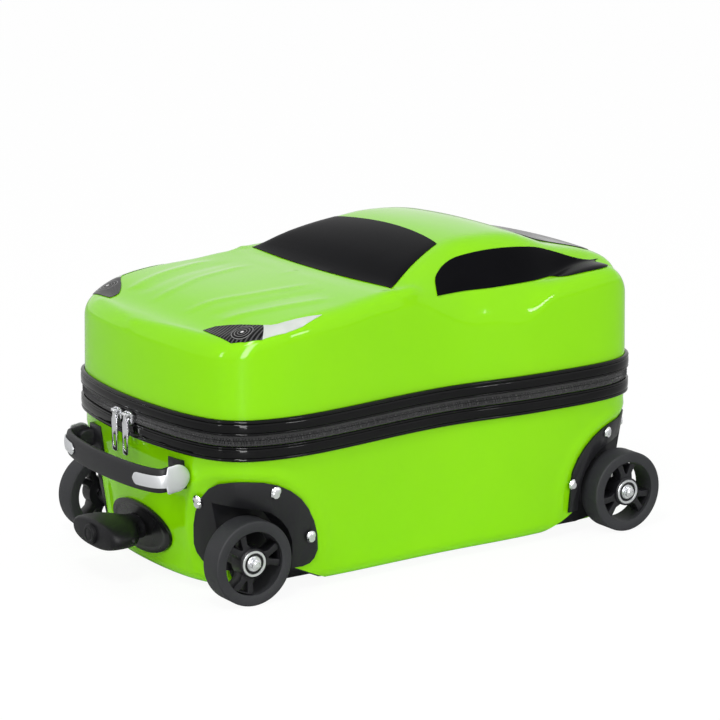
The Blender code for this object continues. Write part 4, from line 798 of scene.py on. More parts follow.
@dataclass
class Lid:
    """The upper half's moulded shell, windows and headlights; its lining and its half of the belt are made
    with the tub and the belt.
    """

    shop: PaintShop
    stations: int = 256
    bends: int = 12
    shares: int = 44
    roof: float = 0.2715
    bonnet: float = 0.238
    foot_x: float = -0.050
    head_x: float = 0.025
    roof_half: float = 0.087
    pillar_half: float = 0.121
    sill: float = 0.229
    shoulder: float = 0.016
    softness: float = 0.0022
    film_lift: float = 0.0003
    film: float = 0.0004
    creases: tuple[Crease, ...] = (
        Crease(((-0.186, -0.028, 0.2272), (-0.165, -0.031, 0.230), (-0.137, -0.042, 0.2335),
                (-0.094, -0.049, 0.2370)), 0.0007, 0.0050),
        Crease(((-0.178, -0.0775, 0.2255), (-0.147, -0.088, 0.231), (-0.1035, -0.096, 0.235)),
               0.0009, 0.0055),
        Crease(((-0.176, -0.060, 0.2265), (-0.140, -0.069, 0.2325), (-0.098, -0.074, 0.2360)),
               -0.0006, 0.0080),
        Crease(((-0.224, 0.0, 0.214), (-0.219, -0.035, 0.217), (-0.214, -0.058, 0.217),
                (-0.210, -0.084, 0.217)), 0.0010, 0.0045),
        Crease(((-0.069, 0.0, 0.2395), (-0.0625, -0.063, 0.2396), (-0.056, -0.113, 0.238)), 0.0007, 0.0040),
        Crease(((-0.050, -0.1165, 0.2355), (-0.038, -0.1195, 0.2370), (-0.028, -0.1190, 0.2378)),
               0.0038, 0.0050),
    )
    skin: Piece = field(init=False)

    def deck(self, x: float) -> float:
        """Bonnet, shoulder, haunch and tail along the case."""
        rear, front = PLAN.rear, PLAN.front
        return through([(-front + self.shoulder, 0.212), (-0.72 * front, self.bonnet - 0.0085),
                        (self.foot_x - 0.045, self.bonnet - 0.0005), (self.foot_x, self.bonnet),
                        (self.head_x + 0.005, self.sill), (0.5 * rear, self.sill), (0.8 * rear, 0.234),
                        (rear - self.shoulder, 0.218)], x)

    def cabin(self, x: float) -> float:
        """The cabin along its centre line."""
        rear, head = PLAN.rear, self.roof - 0.004
        fall = (head - self.bonnet) / (self.head_x - self.foot_x)
        middle = (0.5 * (self.foot_x + self.head_x), 0.5 * (self.bonnet + head) + 0.0035)
        return through([(self.foot_x - 0.050, self.bonnet - fall * 0.050), (self.foot_x, self.bonnet), middle,
                        (self.head_x, head), (0.060, self.roof), (0.105, self.roof - 0.003),
                        (0.64 * rear, self.roof - 0.018), (0.9 * rear, 0.238), (rear, 0.218)], x)

    def cabin_half(self, x: float) -> float:
        """Where the roof turns down into the side glass."""
        rear = PLAN.rear
        return through([(self.foot_x, self.pillar_half), (self.head_x, self.roof_half + 0.002),
                        (0.060, self.roof_half), (0.6 * rear, self.roof_half - 0.006),
                        (rear, self.roof_half - 0.012)], x)

    def height(self, x: float, y: float) -> float:
        """The lid's top before its edge is rounded."""

        def ramp(t: float, softness: float) -> float:
            """0 below 0 and t above it, with a rounded turn."""
            return softness * math.log1p(math.exp(min(t / softness, 60.0)))

        half = self.cabin_half(x)
        cabin = self.cabin(x) - 0.003 * (y / half) ** 2 - ramp(abs(y) - half, 0.004) * 1.45
        deck = self.deck(x) - 0.005 * (y / PLAN.front_half) ** 2 * ease(x / self.foot_x - 1)
        return deck + ramp(cabin - deck, self.softness)

    def rows(self, rim: float) -> list[list[Vector]]:
        """Rings of the lid's skin from its rim up to the ridge.

        Args:
            rim: height of the rim.

        Returns:
            The rings.
        """
        stations = PLAN.stations(self.stations)
        bends = []
        for p, n in stations:
            edge = -PLAN.inset - 0.001
            inner, further = p + n * (edge - self.shoulder), p + n * (edge - self.shoulder - PROBE)
            top = self.height(inner.x, inner.y)
            rise = (self.height(further.x, further.y) - top) / PROBE
            corner, outer = top - max(rise, 0.0) * self.shoulder, p + n * edge
            bends.append((Vector((outer.x, outer.y, corner - self.shoulder)),
                          Vector((outer.x, outer.y, corner)), Vector((inner.x, inner.y, top))))
        rows = [PLAN.ring(stations, -PLAN.inset, rim)]
        lows = [a for a, _, _ in bends]
        for k in range(1, 5):
            rows.append([rows[0][i].lerp(lows[i], k / 5) for i in range(len(lows))])
        for k in range(self.bends + 1):
            t = k / self.bends
            rows.append([a * (1 - t) ** 2 + b * (2 * t * (1 - t)) + c * t**2 for a, b, c in bends])
        for k in range(1, self.shares + 1):
            share = 1 - k / self.shares
            row = []
            for _, _, end in bends:
                ridge_x = min(max(end.x, -PLAN.ridge), PLAN.ridge)
                x, y = ridge_x + (end.x - ridge_x) * share, end.y * share
                row.append(Vector((x, y, self.height(x, y))))
            rows.append(row)
        return rows

    def relieve(self, piece: Piece) -> None:
        """Raises the moulded creases on an open skin along its normals."""
        mesh = piece.data
        points = np.array([v.co[:] for v in mesh.vertices])
        normals = np.array([v.normal[:] for v in mesh.vertices])
        moved = sum(crease.raise_by(points) for crease in self.creases)
        points += normals * moved[:, None]
        mesh.vertices.foreach_set("co", points.ravel())
        mesh.update()

    def make_shell(self) -> None:
        """The moulded green lid."""
        skin = Bench.tidy(Bench.from_rows("upper_shell_moulding", self.rows(PLAN.seam + PLAN.tape + 2 * GAP)))
        self.relieve(skin)
        self.skin = Bench.twin(skin, "lid_skin_pattern", Matrix.Identity(4))
        self.skin.hide_render = True
        Bench.apply(skin, "SOLIDIFY", thickness=PLAN.wall, offset=-1.0)
        self.shop.dress(Bench.smooth(skin, 50), GREEN, "lid", "upper_shell")

    def film_piece(self, name: str, cutter: Piece, lift: float, thickness: float) -> Piece:
        """A film on the lid's skin, as far as a helper solid reaches.

        Args:
            name: the film's name.
            cutter: the helper that bounds it.
            lift: distance from the skin.
            thickness: the film's thickness.

        Returns:
            The film.
        """
        corners = np.array([v.co[:] for v in cutter.data.vertices])
        low, high = corners.min(0) - 0.012, corners.max(0) + 0.012
        film = Bench.twin(self.skin, name, Matrix.Identity(4))
        Bench.activate(film)
        bpy.ops.object.mode_set(mode="EDIT")
        Bench.pick(lambda c, n: not all(low[i] < c[i] < high[i] for i in range(3)) or c.z < PLAN.belt_top)
        bpy.ops.mesh.delete(type="FACE")
        bpy.ops.object.mode_set(mode="OBJECT")
        film.hide_render = False
        for vertex in film.data.vertices:
            vertex.co += vertex.normal * lift
        Bench.apply(film, "SOLIDIFY", thickness=thickness, offset=1.0)
        Bench.carve(film, cutter, "INTERSECT")
        return Bench.smooth(film, 40)

    def make_windows(self) -> None:
        """Windscreen, rear window and side windows."""
        spread = [2 * i / 24 - 1 for i in range(25)]
        foot, head = self.foot_x + 0.0005, self.head_x + 0.008
        low = [(foot + 0.007 * v**2, (self.pillar_half - 0.012) * v) for v in spread]
        high = [(head - 0.008 * v**2, (self.roof_half - 0.009) * v) for v in spread]
        shape = Bench.prism("windscreen_shape", low + high[::-1], Axis.Z, 0.16, 0.33)
        pane = self.film_piece("windscreen_film", shape, self.film_lift, self.film)
        self.shop.dress(pane, GLASS_FILM, "lid", "windscreen")
        head, foot = 0.63 * PLAN.rear, 0.895 * PLAN.rear
        high = [(head - 0.003 * v**2, 0.050 * v) for v in spread]
        low = [(foot - 0.008 * v**2, 0.064 * v) for v in spread]
        shape = Bench.prism("rear_window_shape", high + low[::-1], Axis.Z, 0.16, 0.33)
        pane = self.film_piece("rear_window_film", shape, self.film_lift, self.film)
        self.shop.dress(pane, REAR_FILM, "lid", "rear_window")
        upper = [(0, 0.001), (0.004, 0.0065), (0.012, 0.012), (0.022, 0.0148), (0.037, 0.017),
                 (0.066, 0.0203), (0.10, 0.023), (0.15, 0.0257), (0.205, 0.0275), (0.31, 0.0292),
                 (0.46, 0.0285), (0.62, 0.0245), (0.735, 0.018), (0.835, 0.011), (0.91, 0.007), (1, 0.005)]
        lower = [(0, 0.001), (0.4, 0.0008), (0.66, 0.0018), (0.81, 0.0042), (1, 0.005)]
        start, end = self.head_x - 0.026, 0.857 * PLAN.rear
        glass = [(k / 40, through(upper, k / 40)) for k in range(3, 41)]
        glass = [(a, b) for a, b in upper[:5]] + [g for g in glass if g[0] > 0.04]
        glass += [(k / 20, through(lower, k / 20)) for k in range(19, 0, -1)]
        for flank in Flank:
            side = flank.value
            outline = [(start + (end - start) * a, self.sill + b) for a, b in glass]
            shape = Bench.prism("side_window_shape", outline, Axis.Y, *sorted((side * 0.05, side * 0.2)))
            pane = self.film_piece(f"side_window_film_{flank.label}", shape, self.film_lift, self.film)
            self.shop.dress(pane, GLASS_FILM, "lid", f"side_window_{flank.label}")

    def make_lamps(self) -> None:
        """Headlight films with a plain ring lens and a pale tail."""
        lamp = [(-0.2035, 0.0775), (-0.198, 0.0778), (-0.193, 0.080), (-0.187, 0.088), (-0.181, 0.098),
                (-0.176, 0.108), (-0.171, 0.117), (-0.167, 0.1215), (-0.162, 0.1235), (-0.150, 0.1246),
                (-0.137, 0.1255), (-0.122, 0.127), (-0.133, 0.130), (-0.144, 0.1325), (-0.152, 0.1328),
                (-0.160, 0.1325), (-0.170, 0.1308), (-0.180, 0.1285), (-0.191, 0.1225), (-0.200, 0.1145),
                (-0.2015, 0.108), (-0.2025, 0.100), (-0.2035, 0.088)]
        material = LampGraphic().material()
        for flank in Flank:
            outline = [(x, flank.value * y) for x, y in lamp]
            shape = Bench.prism("headlight_shape", outline, Axis.Z, 0.16, 0.33)
            film = self.film_piece(f"headlight_film_{flank.label}", shape, self.film_lift, self.film)
            film.data.materials.clear()
            film.data.materials.append(material)
            self.shop.place(film, "lamp_silver", "lid", f"headlight_{flank.label}")

    def build(self) -> None:
        """Makes all pieces of the lid but its belt and lining."""
        self.make_shell()
        self.make_windows()
        self.make_lamps()
        bpy.data.objects.remove(self.skin, do_unlink=True)


@dataclass(frozen=True)
class LampGraphic:
    """The headlight film: black field, ring lens, slanted bars and a silver tail."""

    lens: tuple[float, float] = (-0.1873, 0.1110)
    lens_radius: float = 0.0095
    field_centre: tuple[float, float] = (-0.2105, 0.0985)
    field_radius: float = 0.0435
    bar_pitch: float = 0.0034
    bar_tone: float = 0.10
    black: float = 0.008
    dim_silver: Colour = (0.62, 0.68, 0.60)
    bright_silver: Colour = (0.86, 0.89, 0.86)

    def material(self) -> bpy.types.Material:
        """The film's material, alike on both flanks.

        Returns:
            A material whose masks come from the place on the film.
        """
        made = bpy.data.materials.new("headlight_film")
        made.use_nodes = True
        tree = made.node_tree
        place = add_node(tree, "TexCoord")
        split = add_node(tree, "SeparateXYZ", {0: place.outputs["Object"]})

        def maths(operation: str, *values: object) -> bpy.types.NodeSocket:
            """The result of one sum with numbers and sockets."""
            return add_node(tree, "Math", dict(enumerate(values)), operation=operation).outputs[0]

        def mixed(share: object, first: object, second: object) -> bpy.types.NodeSocket:
            """A mix of two tones, each a colour or a socket."""
            values = {"Factor": share, "A": first, "B": second}
            return add_node(tree, "Mix", values, data_type="RGBA").outputs["Result"]

        across = maths("ABSOLUTE", split.outputs["Y"])

        def distance(centre: tuple[float, float]) -> bpy.types.NodeSocket:
            """Distance from a place in plan, the same on both flanks."""
            dx = maths("SUBTRACT", split.outputs["X"], centre[0] + SHIFT)
            dy = maths("SUBTRACT", across, centre[1])
            return maths("SQRT", maths("ADD", maths("MULTIPLY", dx, dx), maths("MULTIPLY", dy, dy)))

        ring = maths("DIVIDE", distance(self.lens), self.lens_radius)
        ramp = add_node(tree, "ValToRGB", {"Fac": ring})
        ramp.color_ramp.interpolation = "LINEAR"
        stops = [(0.0, 0.90), (0.12, 0.90), (0.17, self.black), (0.36, self.black), (0.40, 0.34),
                 (0.44, self.black), (0.62, 0.01), (0.66, 0.40), (0.70, self.black), (0.88, self.black),
                 (0.92, 0.46), (0.97, self.black)]
        stones = ramp.color_ramp.elements
        stones[0].position, stones[0].color = stops[0][0], (stops[0][1],) * 3 + (1.0,)
        stones[1].position, stones[1].color = stops[-1][0], (stops[-1][1],) * 3 + (1.0,)
        for position, level in stops[1:-1]:
            stones.new(position).color = (level, level, level, 1.0)
        slant = maths("ADD", maths("MULTIPLY", split.outputs["X"], 0.35), across)
        wave = maths("SINE", maths("MULTIPLY", slant, 2 * math.pi / self.bar_pitch))
        bars = maths("GREATER_THAN", wave, 0.35)
        level = maths("MULTIPLY_ADD", bars, self.bar_tone, self.black)
        dark = mixed(maths("LESS_THAN", ring, 1.0), level, ramp.outputs["Color"])
        cloud = add_node(tree, "TexNoise", {"Scale": 60.0, "Vector": place.outputs["Object"]})
        pale = mixed(cloud.outputs["Fac"], (*self.dim_silver, 1.0), (*self.bright_silver, 1.0))
        in_field = maths("LESS_THAN", distance(self.field_centre), self.field_radius)
        feed(tree, tree.nodes["Principled BSDF"], {"Roughness": 0.16, "Specular IOR Level": 0.05,
                                                   "Base Color": mixed(in_field, pale, dark)})
        return made


@dataclass
class Belt:
    """The zip belt: bindings, tapes with their coil teeth, sliders' track and the hinge tape."""

    shop: PaintShop
    stations: int = 288
    tooth_pitch: float = 0.0026
    binding: float = 0.003

    def make_binding(self, name: str, node: str, body: str, low: float, high: float, upwards: int) -> None:
        """One vinyl binding with its stitched beads.

        Args:
            name: the piece's name.
            node: the CAD node that it stands for.
            body: the body that carries it.
            low: height of its lower edge.
            high: height of its upper edge.
            upwards: 1 where the shell lies above the binding, -1 below.
        """
        tall = high - low
        face = [(0.00, -0.0013), (0.03, -0.0004), (0.07, 0.0), (0.12, -0.0002), (0.155, -0.0009),
                (0.19, -0.0002), (0.25, 0.0), (0.45, 0.0001), (0.62, 0.0), (0.72, -0.0002),
                (0.765, -0.0010), (0.81, -0.0002), (0.88, 0.0), (0.95, -0.0003), (1.00, -0.0014)]
        profile = [(-self.binding, 0.0)] + [(out, share) for share, out in face] + [(-self.binding, 1.0)]
        if upwards < 0:
            profile = [(out, 1.0 - share) for out, share in profile]
        stations = PLAN.stations(self.stations)
        rows = [PLAN.ring(stations, out, low + tall * share) for out, share in profile]
        piece = Bench.from_rows(name, rows, around=True, closed=True)
        Bench.smooth(Bench.tidy(piece), 60)
        self.shop.dress(piece, VINYL, body, node)

    def make_tape(self, name: str, node: str, body: str, low: float, high: float) -> None:
        """One half of the woven tape, with a low welt along each edge."""
        inner, outer = -PLAN.inset - PLAN.wall, -0.002
        tall = high - low
        profile = [(inner, low), (outer - 0.0005, low), (outer - 0.0001, low + 0.12 * tall),
                   (outer, low + 0.3 * tall), (outer - 0.0003, low + 0.5 * tall), (outer, low + 0.7 * tall),
                   (outer - 0.0001, low + 0.88 * tall), (outer - 0.0005, high), (inner, high)]
        stations = PLAN.stations(self.stations)
        rows = [PLAN.ring(stations, out, z) for out, z in profile]
        piece = Bench.from_rows(name, rows, around=True, closed=True)
        Bench.smooth(Bench.tidy(piece), 50)
        self.shop.dress(piece, TAPE, body, node)

    def make_teeth(self, name: str, body: str, side: int) -> None:
        """One row of coil teeth along the seam, as small rounded loops.

        Args:
            name: the piece's name.
            body: the body that carries it.
            side: 1 for the lid's row, -1 for the tub's.
        """
        stations = PLAN.stations(1200, weight=0.0)
        ring = PLAN.ring(stations, -0.0019, PLAN.seam)
        reached, goal, chosen = 0.0, 0.0 if side > 0 else self.tooth_pitch / 2, []
        for i, point in enumerate(ring):
            if reached >= goal:
                chosen.append(i)
                goal += self.tooth_pitch
            reached += (ring[(i + 1) % len(ring)] - point).length
        corners, faces = [], []
        shape = [(-0.0006, -0.0003), (0.0, 0.0008), (0.0006, -0.0003)]
        for i in chosen:
            p, n = stations[i]
            heading = Vector((-n.y, n.x, 0))
            out = Vector((n.x, n.y, 0))
            base = Vector((p.x, p.y, PLAN.seam)) + out * -0.0019
            for z, size in ((side * 0.0002, 0.7), (side * 0.0011, 1.0), (side * 0.0024, 0.8)):
                for a, b in shape:
                    corners.append(base + heading * a * size + out * b * size + Vector((0, 0, z)))
            start = len(corners) - 9
            for level in range(2):
                for k in range(3):
                    a, b = start + 3 * level + k, start + 3 * level + (k + 1) % 3
                    faces.append((a, b, b + 3, a + 3))
            faces += [(start + 2, start + 1, start), (start + 6, start + 7, start + 8)]
        piece = Bench.raw(name, corners, faces)
        Bench.smooth(Bench.tidy(piece), 80)
        self.shop.dress(piece, TEETH, body)

    def make_hinge_tape(self) -> None:
        """The cloth strip over the seam at the rear, made as one still piece."""
        stations = [s for s in PLAN.stations(self.stations) if s[0].x > 0 and abs(s[0].y) < 0.0752]
        stations.sort(key=lambda s: s[0].y)
        rows = []
        for k in range(17):
            share = k / 16
            rows.append(PLAN.ring(stations, -0.0017 + 0.0004 * math.sin(math.pi * share) ** 2,
                                  PLAN.seam - PLAN.tape + 2 * PLAN.tape * share))
        piece = Bench.from_rows("hinge_cloth", rows, around=False)
        Bench.apply(piece, "SOLIDIFY", thickness=0.0010, offset=1.0)
        Bench.smooth(Bench.tidy(piece), 50)
        piece.data.materials.append(self.shop.material(TAPE))
        piece.data.transform(Matrix.Translation((SHIFT, 0, 0)))
        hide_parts("hinge_tape")
        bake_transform(piece)

    def build(self) -> None:
        """Makes the whole belt."""
        seam, tape = PLAN.seam, PLAN.tape
        self.make_binding("upper_piping", "upper_binding", "lid", seam + tape + 2 * GAP, PLAN.belt_top, 1)
        self.make_binding("lower_piping", "lower_binding", "tub", PLAN.belt_bottom, seam - tape - 2 * GAP, -1)
        self.make_tape("upper_tape_weave", "upper_zip_tape", "lid", seam + GAP, seam + tape + GAP)
        self.make_tape("lower_tape_weave", "lower_zip_tape", "tub", seam - tape - GAP, seam - GAP)
        self.make_teeth("upper_coil_teeth", "lid", 1)
        self.make_teeth("lower_coil_teeth", "tub", -1)
        self.make_hinge_tape()


@dataclass(frozen=True)
class Flange:
    """Outline of a housing's flange about its axle, and where its rivets sit."""

    radius: float
    shift: float
    rise: float
    width: float
    bend: float
    rivet_ring: float
    rivet_angles: tuple[float, float]
    rivet_corner: float


FLANGES = {End.FRONT: Flange(0.0655, 0.0, 0.0, 0.024, 0.042, 0.058, (11, 69), 0.0785),
           End.REAR: Flange(0.0615, 0.005, 0.18, 0.019, 0.018, 0.0525, (13, 80), 0.087)}


@dataclass
class Tub:
    """The lower half: moulded shell with raised lips, housings, rivets and linings."""

    shop: PaintShop
    stations: int = 352
    arch: float = 0.0425
    rise: float = 0.18
    run_out: float = 2.2
    foot: float = 0.0215
    lip: float = 0.0017
    shell: Piece = field(init=False)

    def arch_outline(self, end: End, radius: float, foot: float) -> Outline:
        """The side outline of a wheel arch that runs out at its foot."""
        x0, out = end.value * WHEELBASE / 2, end.value
        points = [(-radius - self.run_out * (self.foot - foot), foot), (-radius, self.foot)]
        for i in range(19):
            turn = math.pi / 2 * i / 18
            points.append((-radius * math.cos(turn), AXLE_Z + radius * math.sin(turn)))
        points += [(0.216, AXLE_Z + radius + self.rise * 0.216), (0.216, foot)]
        return [(x0 + out * x, z) for x, z in points]

    def outside_flange(self, point: Vector) -> float:
        """Distance from the nearest housing flange's edge, negative under the flange."""
        nearest = 1.0
        for end, edge in FLANGES.items():
            x = end.value * point.x - WHEELBASE / 2 - edge.shift
            z = point.z - AXLE_Z
            side = math.hypot(x, max(z, 0.0)) - edge.radius if x < 0 else z - edge.radius - edge.rise * x
            a = POCKET_Y - edge.width + edge.bend - abs(point.y)
            b = z - edge.radius - edge.rise * 0.04 + edge.bend
            across = math.hypot(a, b) - edge.bend if a > 0 and b > 0 else max(a, b) - edge.bend
            nearest = min(nearest, max(side, across, self.foot - point.z))
        return nearest

    def rows(self) -> list[list[Vector]]:
        """Rings of the tub's skin from the ridge along its floor to its rim."""
        stations = PLAN.stations(self.stations, weight=0.06)
        foot, radius = PLAN.floor + PLAN.floor_radius, PLAN.floor_radius
        rows = [[Vector((min(max(p.x, -PLAN.ridge), PLAN.ridge), 0, PLAN.floor)) for p, _ in stations]]
        for share in (0.5, 0.85):
            low = PLAN.tub_ring(stations, -radius, foot, PLAN.floor)
            rows.append([rows[0][i].lerp(low[i], share) for i in range(len(low))])
        for i in range(8):
            turn = math.pi / 2 * i / 7
            rows.append(PLAN.tub_ring(stations, -radius * (1 - math.sin(turn)), foot,
                                      foot - radius * math.cos(turn)))
        for i in range(1, 34):
            z = foot + (PLAN.belt_bottom - foot) * i / 33
            rows.append(PLAN.tub_ring(stations, 0.0, z, z))
        rim = PLAN.seam - PLAN.tape - 2 * GAP
        rows.append(PLAN.tub_ring(stations, 0.0, rim, rim))
        return rows

    def make_shell(self) -> None:
        """The moulded green tub, with a raised lip round each housing."""
        skin = Bench.tidy(Bench.from_rows("lower_shell_moulding", self.rows()))
        for vertex in skin.data.vertices:
            away = self.outside_flange(vertex.co)
            if 0 < away < 0.03 and vertex.co.z < PLAN.belt_bottom:
                fade = ease(away / 0.003) * ease((PLAN.belt_bottom - vertex.co.z) / 0.004)
                fade *= ease((vertex.co.z - 0.008) / 0.02)
                vertex.co += vertex.normal * self.lip * math.exp(-(((away - 0.0065) / 0.0048) ** 2)) * fade
        Bench.apply(skin, "SOLIDIFY", thickness=PLAN.wall, offset=-1.0)
        self.shell = Bench.twin(skin, "tub_skin_pattern", Matrix.Identity(4))
        self.shell.hide_render = True
        holes = []
        face = POCKET_Y - HOUSING_WALL - GAP
        for end in End:
            for flank in Flank:
                outline = self.arch_outline(end, self.arch + HOUSING_WALL + GAP, -0.03)
                low, high = sorted((flank.value * face, flank.value * 0.3))
                holes.append(Bench.prism("pocket_room", outline, Axis.Y, low, high))
        z = ROD_LEVEL
        wall = -PLAN.front - PLAN.tub_offset(-PLAN.front, z)
        holes.append(Bench.cylinder("rod_room", 0.0113, (wall - 0.01, 0, z), (wall + 0.02, 0, z), 64))
        Bench.carve(skin, Bench.join("shell_holes", holes))
        self.shop.dress(Bench.smooth(skin, 40), GREEN, "tub", "lower_shell")

    def on_wall(self, place: Vector) -> tuple[Vector, Vector]:
        """The point of the shell nearest to a place, and the outward normal there."""
        tree = BVHTree.FromObject(self.shell, bpy.context.evaluated_depsgraph_get())
        point, normal, _, _ = tree.find_nearest(place)
        return point, normal

    def make_housings(self) -> None:
        """Moulded housings with softened edges, and domed rivets on their flanges."""
        for end in End:
            for flank in Flank:
                label = f"{end.label}_{flank.label}"
                self.shop.soften_packed(f"wheel_housing_{label}", f"housing_moulding_{label}", 0.0006,
                                        HOUSING_BLACK, "tub")
                self.make_rivets(end, flank, label)

    def make_rivets(self, end: End, flank: Flank, label: str) -> None:
        """Three domed rivets and the strip behind one flange."""
        x0, out, side = end.value * WHEELBASE / 2, end.value, flank.value
        places = []
        edge = FLANGES[end]
        ring = edge.rivet_ring
        for angle in edge.rivet_angles:
            turn = math.radians(angle)
            x = x0 - out * ring * math.cos(turn)
            places.append(Vector((x, side * PLAN.half_width(x), AXLE_Z + ring * math.sin(turn))))
        end_x = PLAN.rear if out > 0 else -PLAN.front
        places.append(Vector((end_x, side * (POCKET_Y - 0.0073), edge.rivet_corner)))
        pieces = [Bench.from_node(f"rivet_strip_{label}", "strip_plate")]
        dome = [(0.0, 0.0022), (0.0015, 0.0021), (0.0030, 0.0016), (0.0040, 0.0008), (0.0044, 0.0002),
                (0.0044, 0.0), (0.0, 0.0)]
        for place in places:
            point, normal = self.on_wall(place)
            head = Bench.turned("rivet_head", dome, (0, 0, 0), Axis.Z, 28, closed=False)
            base = point + normal * (GAP + 0.002 + 0.0006)
            turn = Vector((0, 0, 1)).rotation_difference(normal).to_matrix().to_4x4()
            head.data.transform(Matrix.Translation(base) @ turn)
            pieces.append(head)
        rivets = Bench.join(f"rivets_{label}", pieces)
        self.shop.dress(Bench.smooth(rivets, 40), CHROME, "tub", f"rivet_strip_{label}")

    def make_linings(self) -> None:
        """Sewn cloth linings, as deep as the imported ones."""
        for name, node, body in (("tub_lining_cloth", "lower_lining", "tub"),
                                 ("lid_lining_cloth", "upper_lining", "lid")):
            piece = Bench.from_node(node, name)
            Bench.apply(piece, "TRIANGULATE")
            Bench.activate(piece)
            bpy.ops.object.mode_set(mode="EDIT")
            bpy.ops.mesh.select_all(action="SELECT")
            bpy.ops.mesh.subdivide(number_cuts=2)
            bpy.ops.uv.cube_project(cube_size=1.0, scale_to_bounds=False)
            bpy.ops.object.mode_set(mode="OBJECT")
            self.shop.dress(Bench.smooth(piece, 50), LINING, body, node)

    def build(self) -> None:
        """Makes the tub with all that is fixed to it."""
        self.make_shell()
        self.make_housings()
        self.make_linings()
        bpy.data.objects.remove(self.shell, do_unlink=True)


@dataclass
class Wheel:
    """One wheel: tyre, forked three-spoke hub, ball bearing and axle bolt."""

    shop: PaintShop
    end: End
    flank: Flank
    width: float = 0.022
    hub: float = 0.0265
    boss: float = 0.0128
    bearing: float = 0.011

    @property
    def label(self) -> str:
        """The words that the node names end in."""
        return f"{self.end.label}_{self.flank.label}"

    @property
    def centre(self) -> Vector:
        """The middle of the wheel."""
        return Vector((self.end.value * WHEELBASE / 2, self.flank.value * TRACK / 2, AXLE_Z))

    def make_tyre(self, body: str) -> None:
        """The rubber tyre, spun from a section with a rounded tread and a raised side band."""
        half, seat, tread = self.width / 2, self.hub, AXLE_Z
        section = [(seat, -half), (tread - 0.0016, -half), (tread - 0.0008, -half + 0.00015),
                   (tread - 0.00015, -half + 0.0008), (tread, -half + 0.0016), (tread, half - 0.0016),
                   (tread - 0.00015, half - 0.0008), (tread - 0.0008, half - 0.00015),
                   (tread - 0.0016, half), (seat + 0.0016, half), (seat + 0.0010, half - 0.0003),
                   (seat, half - 0.0005)]
        tyre = Bench.turned(f"tyre_rubber_{self.label}", section, self.centre, Axis.Y, 96,
                            outwards=self.flank.value)
        self.shop.dress(Bench.smooth(tyre, 38), TYRE_BLACK, body, f"tyre_{self.label}")

    def spoke_turns(self) -> list[float]:
        """The angles that the spokes point in, in the side view."""
        first = 128.0 if self.end is End.FRONT else 90.0
        return [math.radians(first + 120 * k) for k in range(3)]

    def side_view(self, turn: float, corners: Outline) -> Outline:
        """Corners along and across a spoke, as places in the side view."""
        x, z, cos, sin = self.centre.x, self.centre.z, math.cos(turn), math.sin(turn)
        return [(x + along * cos - across * sin, z + along * sin + across * cos) for along, across in corners]

    def make_hub(self, body: str) -> None:
        """The hub: rim, boss and three spokes, each forked by a slot towards the rim."""
        half, out = self.width / 2, self.flank.value
        centre = self.centre
        rim, boss = self.hub - GAP, self.boss
        section = [(rim, -half + 0.0005), (rim, half - 0.0006), (rim - 0.0008, half - 0.0003),
                   (rim - 0.0014, half - 0.0006), (rim - 0.0018, half - 0.0065),
                   (rim - 0.0022, -half + 0.003), (rim - 0.0016, -half + 0.0005)]
        ring = Bench.turned(f"hub_moulding_{self.label}", section, centre, Axis.Y, 96, outwards=out)
        core = [(boss, -0.0045), (boss - 0.0004, half - 0.0014), (boss - 0.0012, half - 0.0004),
                (self.bearing + GAP, half - 0.0002), (self.bearing + GAP, half - 0.0073),
                (0.0048, half - 0.0073), (0.0048, -0.0045)]
        Bench.carve(ring, Bench.turned("hub_core", core, centre, Axis.Y, 64, outwards=out), "UNION")
        spokes = []
        for turn in self.spoke_turns():
            outline = [(boss - 0.0022, -0.0066), (boss + 0.0030, -0.0062), (rim - 0.0040, -0.0096),
                       (rim - 0.0010, -0.0108), (rim - 0.0010, 0.0108), (rim - 0.0040, 0.0096),
                       (boss + 0.0030, 0.0062), (boss - 0.0022, 0.0066)]
            low, high = sorted((centre.y - out * 0.0040, centre.y + out * (half - 0.0030)))
            spoke = Bench.prism("spoke", self.side_view(turn, outline), Axis.Y, low, high)
            slot = [(boss + 0.0024, -0.0005), (boss + 0.0034, -0.0011), (rim - 0.0019, -0.0044),
                    (rim - 0.0019, 0.0044), (boss + 0.0034, 0.0011), (boss + 0.0024, 0.0005)]
            room = Bench.prism("spoke_slot", self.side_view(turn, slot), Axis.Y,
                               centre.y - 0.02, centre.y + 0.02)
            Bench.carve(spoke, room)
            Bench.soften(spoke, 0.0005, 2)
            spokes.append(spoke)
        for spoke in spokes:
            Bench.carve(ring, spoke, "UNION")
        Bench.smooth(Bench.tidy(ring), 35)
        self.shop.dress(ring, HOUSING_BLACK, body, f"hub_{self.label}")

    def make_bearing(self, body: str) -> None:
        """The ball bearing: outer race, dark shield groove and inner race."""
        half, r = self.width / 2, self.bearing
        section = [(r, half - 0.007), (r, half - 0.0008), (r - 0.0004, half - 0.0004),
                   (r - 0.0021, half - 0.0004), (r - 0.0024, half - 0.0008), (r - 0.0024, half - 0.0024),
                   (0.0064, half - 0.0024), (0.0064, half - 0.0008), (0.0061, half - 0.0004),
                   (0.0046, half - 0.0004), (0.0043, half - 0.0007), (0.0043, half - 0.007)]
        piece = Bench.turned(f"bearing_race_{self.label}", section, self.centre, Axis.Y, 64,
                             outwards=self.flank.value)
        self.shop.dress(Bench.smooth(piece, 30), RACE_STEEL, body, f"bearing_{self.label}")
        section = [(0.0065, half - 0.0022), (0.0066, half - 0.0012), (0.0069, half - 0.0010),
                   (r - 0.0030, half - 0.0010), (r - 0.0026, half - 0.0012), (r - 0.0025, half - 0.0022)]
        seal = Bench.turned(f"bearing_seal_{self.label}", section, self.centre, Axis.Y, 64,
                            outwards=self.flank.value)
        self.shop.dress(Bench.smooth(seal, 30), PLATE_BLACK, body)

